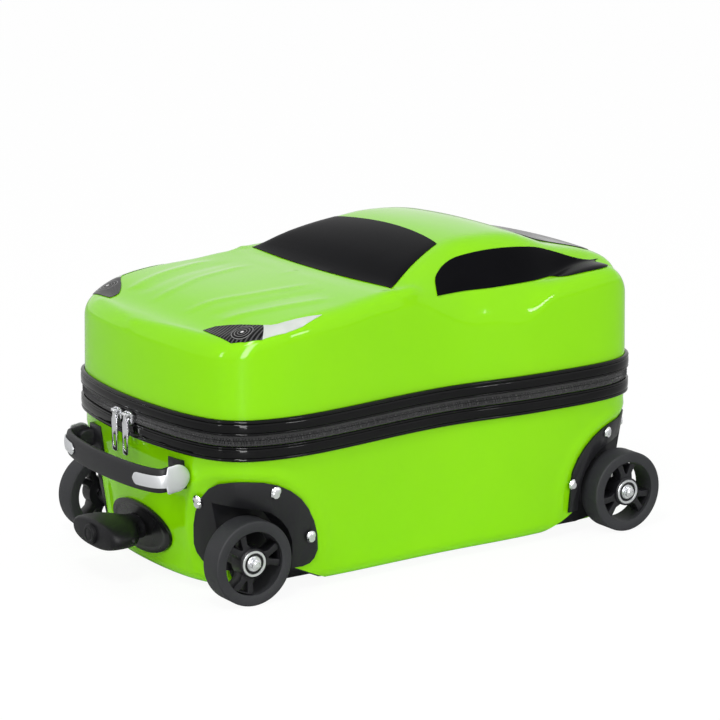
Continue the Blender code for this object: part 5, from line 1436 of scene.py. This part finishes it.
    def make_bolt(self) -> None:
        """The axle bolt: shank, washer face, chamfered hexagon and domed end."""
        half, out, centre = self.width / 2, self.flank.value, self.centre
        head = half - 0.0001
        inner = self.pocket_offset()
        shank = [(0.0, inner), (0.0036, inner), (0.004, inner + 0.0004), (0.004, head), (0.0054, head),
                 (0.0054, head + 0.0005), (0.0, head + 0.0005)]
        bolt = Bench.turned(f"axle_bolt_{self.label}_turned", shank, centre, Axis.Y, 48,
                            closed=False, outwards=out)
        start = centre + Vector((0, out * (head + 0.0005), 0))
        nut = Bench.cylinder("nut", 0.0046, start, start + Vector((0, out * 0.0026, 0)), 6)
        Bench.soften(nut, 0.0004, 2, 30)
        tip = [(0.0, head + 0.0024), (0.0026, head + 0.0024), (0.0026, head + 0.0034),
               (0.0021, head + 0.0039), (0.0, head + 0.0039)]
        end = Bench.turned("bolt_tip", tip, centre, Axis.Y, 32, closed=False, outwards=out)
        bolt = Bench.join(f"axle_bolt_turned_{self.label}", [bolt, nut, end])
        self.shop.dress(Bench.smooth(bolt, 32), CHROME, "tub", f"axle_bolt_{self.label}")

    def pocket_offset(self) -> float:
        """Distance of the pocket's inner face from the wheel's middle, negative inwards."""
        return POCKET_Y - HOUSING_WALL - TRACK / 2

    def build(self) -> None:
        """Makes the wheel."""
        body = f"wheel_{self.label}"
        self.make_tyre(body)
        self.make_hub(body)
        self.make_bearing(body)
        self.make_bolt()


@dataclass
class CarryHandle:
    """The front handle: rubber strap, silver inserts and the mounts."""

    shop: PaintShop
    span: float = 0.158
    reach: float = 0.025
    droop: float = 0.003
    tall: float = 0.020
    thick: float = 0.005
    insert_reach: float = 0.0408
    head_radius: float = 0.0112
    pivot: Vector = field(init=False)

    def __post_init__(self) -> None:
        """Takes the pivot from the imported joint."""
        joint = next(j for j in frame["joints"] if j["name"] == "handle_swing")
        self.pivot = Vector((joint["pos_m"][0] - SHIFT, 0, joint["pos_m"][2]))

    def path(self) -> list[tuple[float, Vector, Vector]]:
        """Run, point and outward heading along the strap's middle.

        Returns:
            Close samples, from behind the near pivot to behind the far one, with run 0 at the near pivot.
        """
        half, straight = self.span / 2, self.tall / 2
        reach = self.reach - self.thick / 2
        points = [Vector((0.012, -half, 0)), Vector((0, -half, 0))]
        steps = 96
        for i in range(steps + 1):
            turn = math.pi * (i / steps - 0.5)
            forwards = straight + (reach - straight) * math.cos(turn)
            points.append(Vector((-forwards, half * math.sin(turn), -self.droop * forwards / reach)))
        points += [Vector((0, half, 0)), Vector((0.012, half, 0))]
        found, run = [], -0.012
        for i, point in enumerate(points):
            if i < 3 or i > len(points) - 4:
                heading = Vector((0, -1 if i < 3 else 1, 0))
            else:
                ahead = points[i + 1] - points[i - 1]
                heading = Vector((-ahead.y, ahead.x, 0)).normalized()
            if i:
                run += (point - points[i - 1]).length
            found.append((run, self.pivot + point, heading))
        return found

    @staticmethod
    def at(path: list[tuple[float, Vector, Vector]], run: float) -> tuple[Vector, Vector]:
        """Point and heading at one run along the path."""
        for (a, p, h), (b, q, g) in zip(path, path[1:]):
            if run <= b:
                share = (run - a) / (b - a)
                return p.lerp(q, share), h.lerp(g, share).normalized()
        return path[-1][1], path[-1][2]

    def make_strap(self, path: list[tuple[float, Vector, Vector]]) -> None:
        """The rubber strap with round ends and a crowned outer face."""
        total = path[-1][0] - 0.012
        cap, runs = self.tall / 2, []
        for k in range(13):
            runs.append(-cap * math.cos(math.pi / 2 * k / 12) * 0.995)
        runs += [total * k / 110 for k in range(1, 110)]
        runs += [total + cap * math.sin(math.pi / 2 * k / 12) * 0.995 for k in range(13)]
        rows = []
        for run in runs:
            point, heading = self.at(path, run)
            over = max(-run, run - total, 0.0)
            half = math.sqrt(max(cap**2 - over**2, 1e-8))
            row = []
            for j in range(28):
                a = 2 * math.pi * j / 28
                out = math.copysign(abs(math.cos(a)) ** 0.35, math.cos(a)) * self.thick / 2
                up = math.copysign(abs(math.sin(a)) ** 0.55, math.sin(a))
                crown = 0.0007 * (1 - up**2) if out > 0 else 0.0
                away = out + crown * min(half / cap, 1.0) - 0.0006
                row.append(point + heading * away + Vector((0, 0, half * up)))
            rows.append(row)
        strap = Bench.from_rows("carry_strap_rubber", rows)
        Bench.cap_ends(strap)
        for flank in Flank:
            y = flank.value * self.span / 2
            hole = Bench.cylinder("strap_hole", 0.0033, (self.pivot.x, y - 0.01, self.pivot.z),
                                  (self.pivot.x, y + 0.01, self.pivot.z), 40)
            Bench.carve(strap, hole)
        self.shop.dress(Bench.smooth(strap, 45), STRAP_BLACK, "handle", "carry_strap")

    def make_insert(self, path: list[tuple[float, Vector, Vector]]) -> None:
        """The silver insert: a round-backed head and a tongue, for both ends."""
        head, tip, slim = self.head_radius, self.insert_reach, 0.0050
        runs = [-head * math.cos(math.pi / 2 * k / 14) * 0.998 for k in range(15)]
        runs += [0.002, 0.004, 0.006, 0.0075, 0.0084, 0.0087, 0.0091, 0.0100]
        runs += [0.0115 + (tip - slim - 0.0115) * k / 22 for k in range(23)]
        runs += [tip - slim + slim * math.sin(math.pi / 2 * k / 8) * 0.995 for k in range(1, 9)]
        rows = []
        for run in runs:
            point, heading = self.at(path, run)
            if run < 0:
                half = math.sqrt(max(head**2 - run**2, 1e-9))
            elif run < 0.0088:
                half = head if run < 0.0080 else head - 0.0012 * (run - 0.0080) / 0.0008
            elif run < tip - slim:
                half = slim + 0.0012 * max(0.0, (0.0105 - run) / 0.0017)
            else:
                half = math.sqrt(max(slim**2 - (run - tip + slim) ** 2, 1e-9))
            lift = self.thick / 2 + 0.0003
            rows.append([point + heading * (lift + 0.0006 * (1 - v**2)) + Vector((0, 0, half * v))
                         for v in (-1 + 2 * j / 10 for j in range(11))])
        insert = Bench.from_rows("handle_insert_metal_near", rows, around=False)
        Bench.tidy(insert)
        if sum(f.normal.y * f.area for f in insert.data.polygons) > 0:
            insert.data.flip_normals()
        Bench.apply(insert, "SOLIDIFY", thickness=0.0010, offset=1.0)
        Bench.soften(insert, 0.00035, 2, 40)
        far = Bench.twin(insert, "handle_insert_metal_far", Matrix.Scale(-1, 4, (0, 1, 0)))
        self.shop.dress(insert, SATIN, "handle", "handle_insert_near")
        self.shop.dress(far, SATIN, "handle", "handle_insert_far")

    def build(self) -> None:
        """Makes the handle and its mounts."""
        path = self.path()
        self.make_strap(path)
        self.make_insert(path)
        for flank in Flank:
            self.shop.soften_packed(f"handle_mount_{flank.label}", f"handle_mount_moulding_{flank.label}",
                                    0.0006, HOUSING_BLACK, "tub")


@dataclass
class PullRod:
    """The telescopic rod: plate, tubes, bushes, grip, button, spring and bracket."""

    shop: PaintShop
    level: float = ROD_LEVEL
    standoff: float = 0.0018
    grip_length: float = 0.0415
    proud: float = 0.0035
    plate_half: tuple[float, float] = (0.0475, 0.0215)

    def face(self) -> float:
        """X of the outer face of the plate at its middle."""
        return -PLAN.front - PLAN.tub_offset(-PLAN.front, self.level) - GAP - 0.003

    @staticmethod
    def span(node: str) -> tuple[float, float]:
        """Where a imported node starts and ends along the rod, in layout coordinates."""
        low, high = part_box(node)
        return low.x - SHIFT, high.x - SHIFT

    def tube(self, name: str, node: str, body: str, outer: float) -> None:
        """One steel tube with a rolled front edge."""
        (start, end), inner = self.span(node), outer - 0.0015
        section = [(outer - 0.0004, start), (outer, start + 0.0005), (outer, end - 0.0004),
                   (outer - 0.0004, end), (inner + 0.0002, end), (inner, end - 0.0004),
                   (inner, start + 0.0006), (inner + 0.0003, start)]
        piece = Bench.turned(name, section, (0, 0, self.level), Axis.X, 64)
        self.shop.dress(Bench.smooth(piece, 35), TUBE_STEEL, body, node)

    def make_plate(self) -> None:
        """The oval plate with a raised rim and a bore for the rod."""
        wide, tall = self.plate_half
        stations = [s for s in PLAN.stations(720, weight=0.0) if s[0].x < -0.15 and abs(s[0].y) < 0.075]
        stations.sort(key=lambda s: -s[0].y)
        rows = []
        for k in range(49):
            z = self.level + 0.0225 * (k / 24 - 1)
            rows.append(PLAN.tub_ring(stations, GAP, z, z))
        plate = Bench.tidy(Bench.from_rows("rod_plate_moulding", rows, around=False))
        if sum(f.normal.x * f.area for f in plate.data.polygons) > 0:
            plate.data.flip_normals()
        for vertex in plate.data.vertices:
            share = math.hypot(vertex.co.y / wide, (vertex.co.z - self.level) / tall)
            vertex.co += Vector((-1, 0, 0)) * 0.0007 * math.exp(-(((share - 0.90) / 0.06) ** 2))
        Bench.apply(plate, "SOLIDIFY", thickness=0.0026, offset=1.0)
        turns = [2 * math.pi * i / 72 for i in range(72)]
        oval = [(wide * math.cos(a), self.level + tall * math.sin(a)) for a in turns]
        wall = self.face()
        Bench.carve(plate, Bench.prism("oval", oval, Axis.X, wall - 0.03, wall + 0.03), "INTERSECT")
        hole = Bench.cylinder("rod_bore", 0.0093, (wall - 0.03, 0, self.level),
                              (wall + 0.03, 0, self.level), 64)
        Bench.carve(plate, hole)
        self.shop.dress(Bench.soften(plate, 0.0007, 3, 45), PLATE_BLACK, "tub", "rod_plate")

    def make_grip(self) -> None:
        """The moulded cross grip with its button well and the tube's socket."""
        back = self.face() - self.standoff
        front = back - self.grip_length
        long = self.grip_length
        widths = [(0.0, 0.034), (0.16, 0.036), (0.24, 0.046), (0.34, 0.0616), (0.42, 0.0695),
                  (0.52, 0.0748), (0.64, 0.0766), (0.76, 0.0770), (0.86, 0.0752), (0.93, 0.0722),
                  (0.97, 0.0690), (1.0, 0.0630)]
        heights = [(0.0, 0.019), (0.16, 0.0196), (0.34, 0.0212), (0.52, 0.0226), (0.90, 0.0232),
                   (0.955, 0.0228), (0.985, 0.0216), (1.0, 0.0200)]
        shares = [k / 26 * 0.9 for k in range(27)] + [0.925, 0.95, 0.968, 0.984, 0.994, 1.0]
        rows = []
        for share in shares:
            x = back - share * long
            half, tall = through(widths, share) / 2, through(heights, share) / 2
            row = []
            for j in range(56):
                a = 2 * math.pi * j / 56
                y = math.copysign(abs(math.sin(a)) ** 0.86, math.sin(a))
                up = -math.copysign(abs(math.cos(a)) ** 0.86, math.cos(a))
                row.append(Vector((x, half * y, self.level + tall * up)))
            rows.append(row)
        grip = Bench.from_rows("pull_grip_moulding", rows)
        Bench.cap_ends(grip)
        z = self.level
        wells = [Bench.cylinder("button_well", 0.0088, (front - 0.01, 0, z), (front + 0.0113, 0, z), 64),
                 Bench.cylinder("tube_socket", 0.0073, (front + 0.017, 0, z), (back + 0.01, 0, z), 48),
                 Bench.cylinder("release_bore", 0.0021, (front - 0.005, 0, z), (back + 0.005, 0, z), 24)]
        for well in wells:
            Bench.carve(grip, well)
        bowl = [(0.0, -0.0009), (0.0016, -0.0007), (0.0022, 0.0), (0.0022, 0.002), (0.0, 0.002)]
        for flank in Flank:
            dimple = Bench.turned("dimple", bowl, (0, 0, 0), Axis.Z, 24, closed=False)
            outwards = Vector((-0.55, flank.value * 0.83, 0.1)).normalized()
            turn = Vector((0, 0, 1)).rotation_difference(outwards)
            spot = Vector((back - 0.55 * long, flank.value * 0.0377, z))
            dimple.data.transform(Matrix.Translation(spot) @ turn.to_matrix().to_4x4())
            Bench.carve(grip, dimple)
        Bench.smooth(Bench.tidy(grip), 40)
        self.shop.dress(grip, GRIP_BLACK, "rod_inner", "pull_grip")

    def make_button(self) -> None:
        """The round push button with a raised ring."""
        tip = self.face() - self.standoff - self.grip_length - self.proud
        section = [(0.0, 0.0003), (0.0044, 0.0003), (0.0050, 0.0006), (0.0054, 0.0003), (0.0060, 0.0),
                   (0.0072, 0.0), (0.0082, 0.0005), (0.0085, 0.0014), (0.0085, 0.009), (0.0, 0.009)]
        button = Bench.turned("push_button_turned", section, (tip, 0, self.level), Axis.X, 64, closed=False)
        self.shop.dress(Bench.smooth(button, 35), GRIP_BLACK, "button", "push_button")

    def make_tubes(self) -> None:
        """The three steel tubes and the bushes of the two that slide."""
        self.tube("outer_tube_steel", "rod_outer_tube", "tub", 0.011)
        self.tube("middle_tube_steel", "rod_middle_tube", "rod_middle", 0.009)
        self.tube("inner_tube_steel", "rod_inner_tube", "rod_inner", 0.007)
        for name, node, body, radius in (("middle_bush_turned", "middle_tube_bush", "rod_middle", 0.0092),
                                         ("inner_bush_turned", "inner_tube_bush", "rod_inner", 0.0072)):
            (start, end), waist = self.span(node), radius - 0.0006
            section = [(0.0, start), (radius - 0.0008, start), (radius, start + 0.0008),
                       (radius, start + 0.003), (waist, start + 0.0036), (waist, end - 0.0036),
                       (radius, end - 0.003), (radius, end - 0.0008), (radius - 0.0008, end), (0.0, end)]
            bush = Bench.turned(name, section, (0, 0, self.level), Axis.X, 48, closed=False)
            self.shop.dress(Bench.smooth(bush, 35), GRIP_BLACK, body, node)

    def make_release_rod(self) -> None:
        """The thin rod behind the push button."""
        (start, end), radius = self.span("release_rod"), 0.0018
        section = [(0.0, start), (radius - 0.0004, start), (radius, start + 0.0005),
                   (radius, end - 0.0005), (radius - 0.0004, end), (0.0, end)]
        wire = Bench.turned("release_rod_steel", section, (0, 0, self.level), Axis.X, 24, closed=False)
        self.shop.dress(Bench.smooth(wire, 35), TUBE_STEEL, "button", "release_rod")

    def make_spring(self) -> None:
        """The return spring, wound as an open coil of round wire."""
        (start, end), turns, wire_half = self.span("button_spring"), 3, 0.00042
        rows = []
        for i in range(145):
            share = i / 144
            a = 2 * math.pi * turns * share
            out = Vector((0, math.cos(a), math.sin(a)))
            middle = Vector((start + 0.00045 + (end - start - 0.0009) * share, 0, self.level)) + out * 0.006
            rows.append([middle + out * wire_half * math.cos(b) + Vector((wire_half * math.sin(b), 0, 0))
                         for b in (math.pi * k / 5 for k in range(10))])
        spring = Bench.tidy(Bench.from_rows("button_spring_wire", rows))
        self.shop.dress(Bench.smooth(spring, 60), TUBE_STEEL, "rod_inner", "button_spring")

    def build(self) -> None:
        """Makes the pull rod."""
        self.make_plate()
        self.make_grip()
        self.make_button()
        self.make_tubes()
        self.make_release_rod()
        self.make_spring()
        self.shop.soften_packed("rod_bracket", "rod_bracket_moulding", 0.0008, GRIP_BLACK, "tub")


@dataclass
class ZipHardware:
    """Sliders and pulls of the zip."""

    shop: PaintShop

    def build(self) -> None:
        """Makes both sliders and pulls with softened, plated edges."""
        for flank in Flank:
            for part in ("slider", "pull"):
                self.shop.soften_packed(f"zip_{part}_{flank.label}", f"zip_{part}_cast_{flank.label}", 0.0003,
                                        CHROME, f"{part}_{flank.label}", 35)


@dataclass(frozen=True)
class SoftBox:
    """One rectangular studio lamp."""

    name: str
    place: tuple[float, float, float]
    aim: tuple[float, float, float]
    size: tuple[float, float]
    power: float
    gloss_only: bool = False


@dataclass
class Studio:
    """Camera, pale floor, world and lamps."""

    lamps: tuple[SoftBox, ...] = (
        SoftBox("key_over_bonnet", (-0.85, -0.85, 1.75), (0.0, 0.0, 0.12), (0.26, 0.46), 11.0),
        SoftBox("tall_strip", (-1.49, -2.35, 1.25), (0.0, 0.0, 0.2), (0.62, 2.6), 85.0, True),
        SoftBox("side_fill", (0.9, -2.2, 1.0), (0.0, 0.0, 0.12), (0.5, 0.3), 10.0),
        SoftBox("front_strip", (-2.2, -0.5, 1.0), (-0.1, 0.0, 0.12), (0.16, 0.9), 6.0),
    )

    lens: float = 140.35
    azimuth: float = -33.73
    elevation: float = 13.06
    distance: float = 2.442
    target: tuple[float, float, float] = (0.00126, 0.00255, 0.15218)
    floor_white: float = 0.88
    floor_glow: float = 1.06
    dim_world: float = 0.48

    def make_camera(self) -> None:
        """The camera at the photograph's place."""
        data = bpy.data.cameras.new("photo_camera")
        data.sensor_width = 36.0
        data.lens = self.lens
        camera = bpy.data.objects.new("photo_camera", data)
        turn, tilt, away = math.radians(self.azimuth), math.radians(self.elevation), self.distance
        target = Vector((self.target[0] + SHIFT, *self.target[1:]))
        heading = Vector((math.sin(turn) * math.cos(tilt), -math.cos(turn) * math.cos(tilt), math.sin(tilt)))
        camera.location = target + heading * away
        camera.rotation_euler = (-heading).to_track_quat("-Z", "Y").to_euler()
        data.clip_end = 50.0
        bpy.context.scene.collection.objects.link(camera)
        bpy.context.scene.camera = camera

    def make_floor(self) -> None:
        """A wide pale floor that shows white to the camera and keeps a soft shadow."""
        Bench.clear()
        bpy.ops.mesh.primitive_plane_add(size=30.0, location=(0, 0, -0.0003))
        floor = bpy.context.active_object
        floor.name = "studio_floor"
        made = bpy.data.materials.new("studio_floor_paint")
        made.use_nodes = True
        tree = made.node_tree
        shader = tree.nodes["Principled BSDF"]
        feed(tree, shader, {"Base Color": (0.80, 0.80, 0.80, 1.0), "Roughness": 0.6})
        glow = add_node(tree, "Emission", {"Strength": self.floor_glow})
        path = add_node(tree, "LightPath")
        share = add_node(tree, "Math", {0: path.outputs["Is Camera Ray"], 1: self.floor_white},
                         operation="MULTIPLY")
        mix = add_node(tree, "MixShader", {"Fac": share.outputs[0], 1: shader.outputs["BSDF"],
                                           2: glow.outputs["Emission"]})
        feed(tree, tree.nodes["Material Output"], {"Surface": mix.outputs["Shader"]})
        floor.data.materials.append(made)

    def make_world(self) -> None:
        """A plain world: moderate light, white to the camera and in reflections."""
        world = bpy.data.worlds.new("studio_world")
        bpy.context.scene.world = world
        world.use_nodes = True
        tree = world.node_tree
        path = add_node(tree, "LightPath").outputs
        seen = add_node(tree, "Math", {0: path["Is Camera Ray"], 1: path["Is Glossy Ray"]},
                        operation="MAXIMUM")
        level = add_node(tree, "Math", {0: seen.outputs[0], 1: 1 - self.dim_world, 2: self.dim_world},
                         operation="MULTIPLY_ADD")
        feed(tree, tree.nodes["Background"], {"Color": (1.0, 1.0, 1.0, 1.0), "Strength": level.outputs[0]})

    def make_lamps(self) -> None:
        """The soft boxes."""
        for box in self.lamps:
            data = bpy.data.lights.new(box.name, "AREA")
            data.shape = "RECTANGLE"
            data.size, data.size_y = box.size
            data.energy = box.power
            lamp = bpy.data.objects.new(box.name, data)
            lamp.location = box.place
            aim = Vector(box.aim) - Vector(box.place)
            lamp.rotation_euler = aim.to_track_quat("-Z", "Y").to_euler()
            lamp.visible_diffuse = not box.gloss_only
            bpy.context.scene.collection.objects.link(lamp)

    def build(self) -> None:
        """Sets up the studio."""
        self.make_camera()
        self.make_floor()
        self.make_world()
        self.make_lamps()
        bpy.context.scene.view_settings.view_transform = "Standard"


def main() -> None:
    """Builds the studio and every sub-assembly in order."""
    logging.basicConfig(level=logging.INFO, format="%(message)s")
    shop = PaintShop()
    Studio().build()
    Lid(shop).build()
    Belt(shop).build()
    Tub(shop).build()
    for end in End:
        for flank in Flank:
            Wheel(shop, end, flank).build()
    CarryHandle(shop).build()
    PullRod(shop).build()
    ZipHardware(shop).build()


if __name__ == "__main__":
    main()
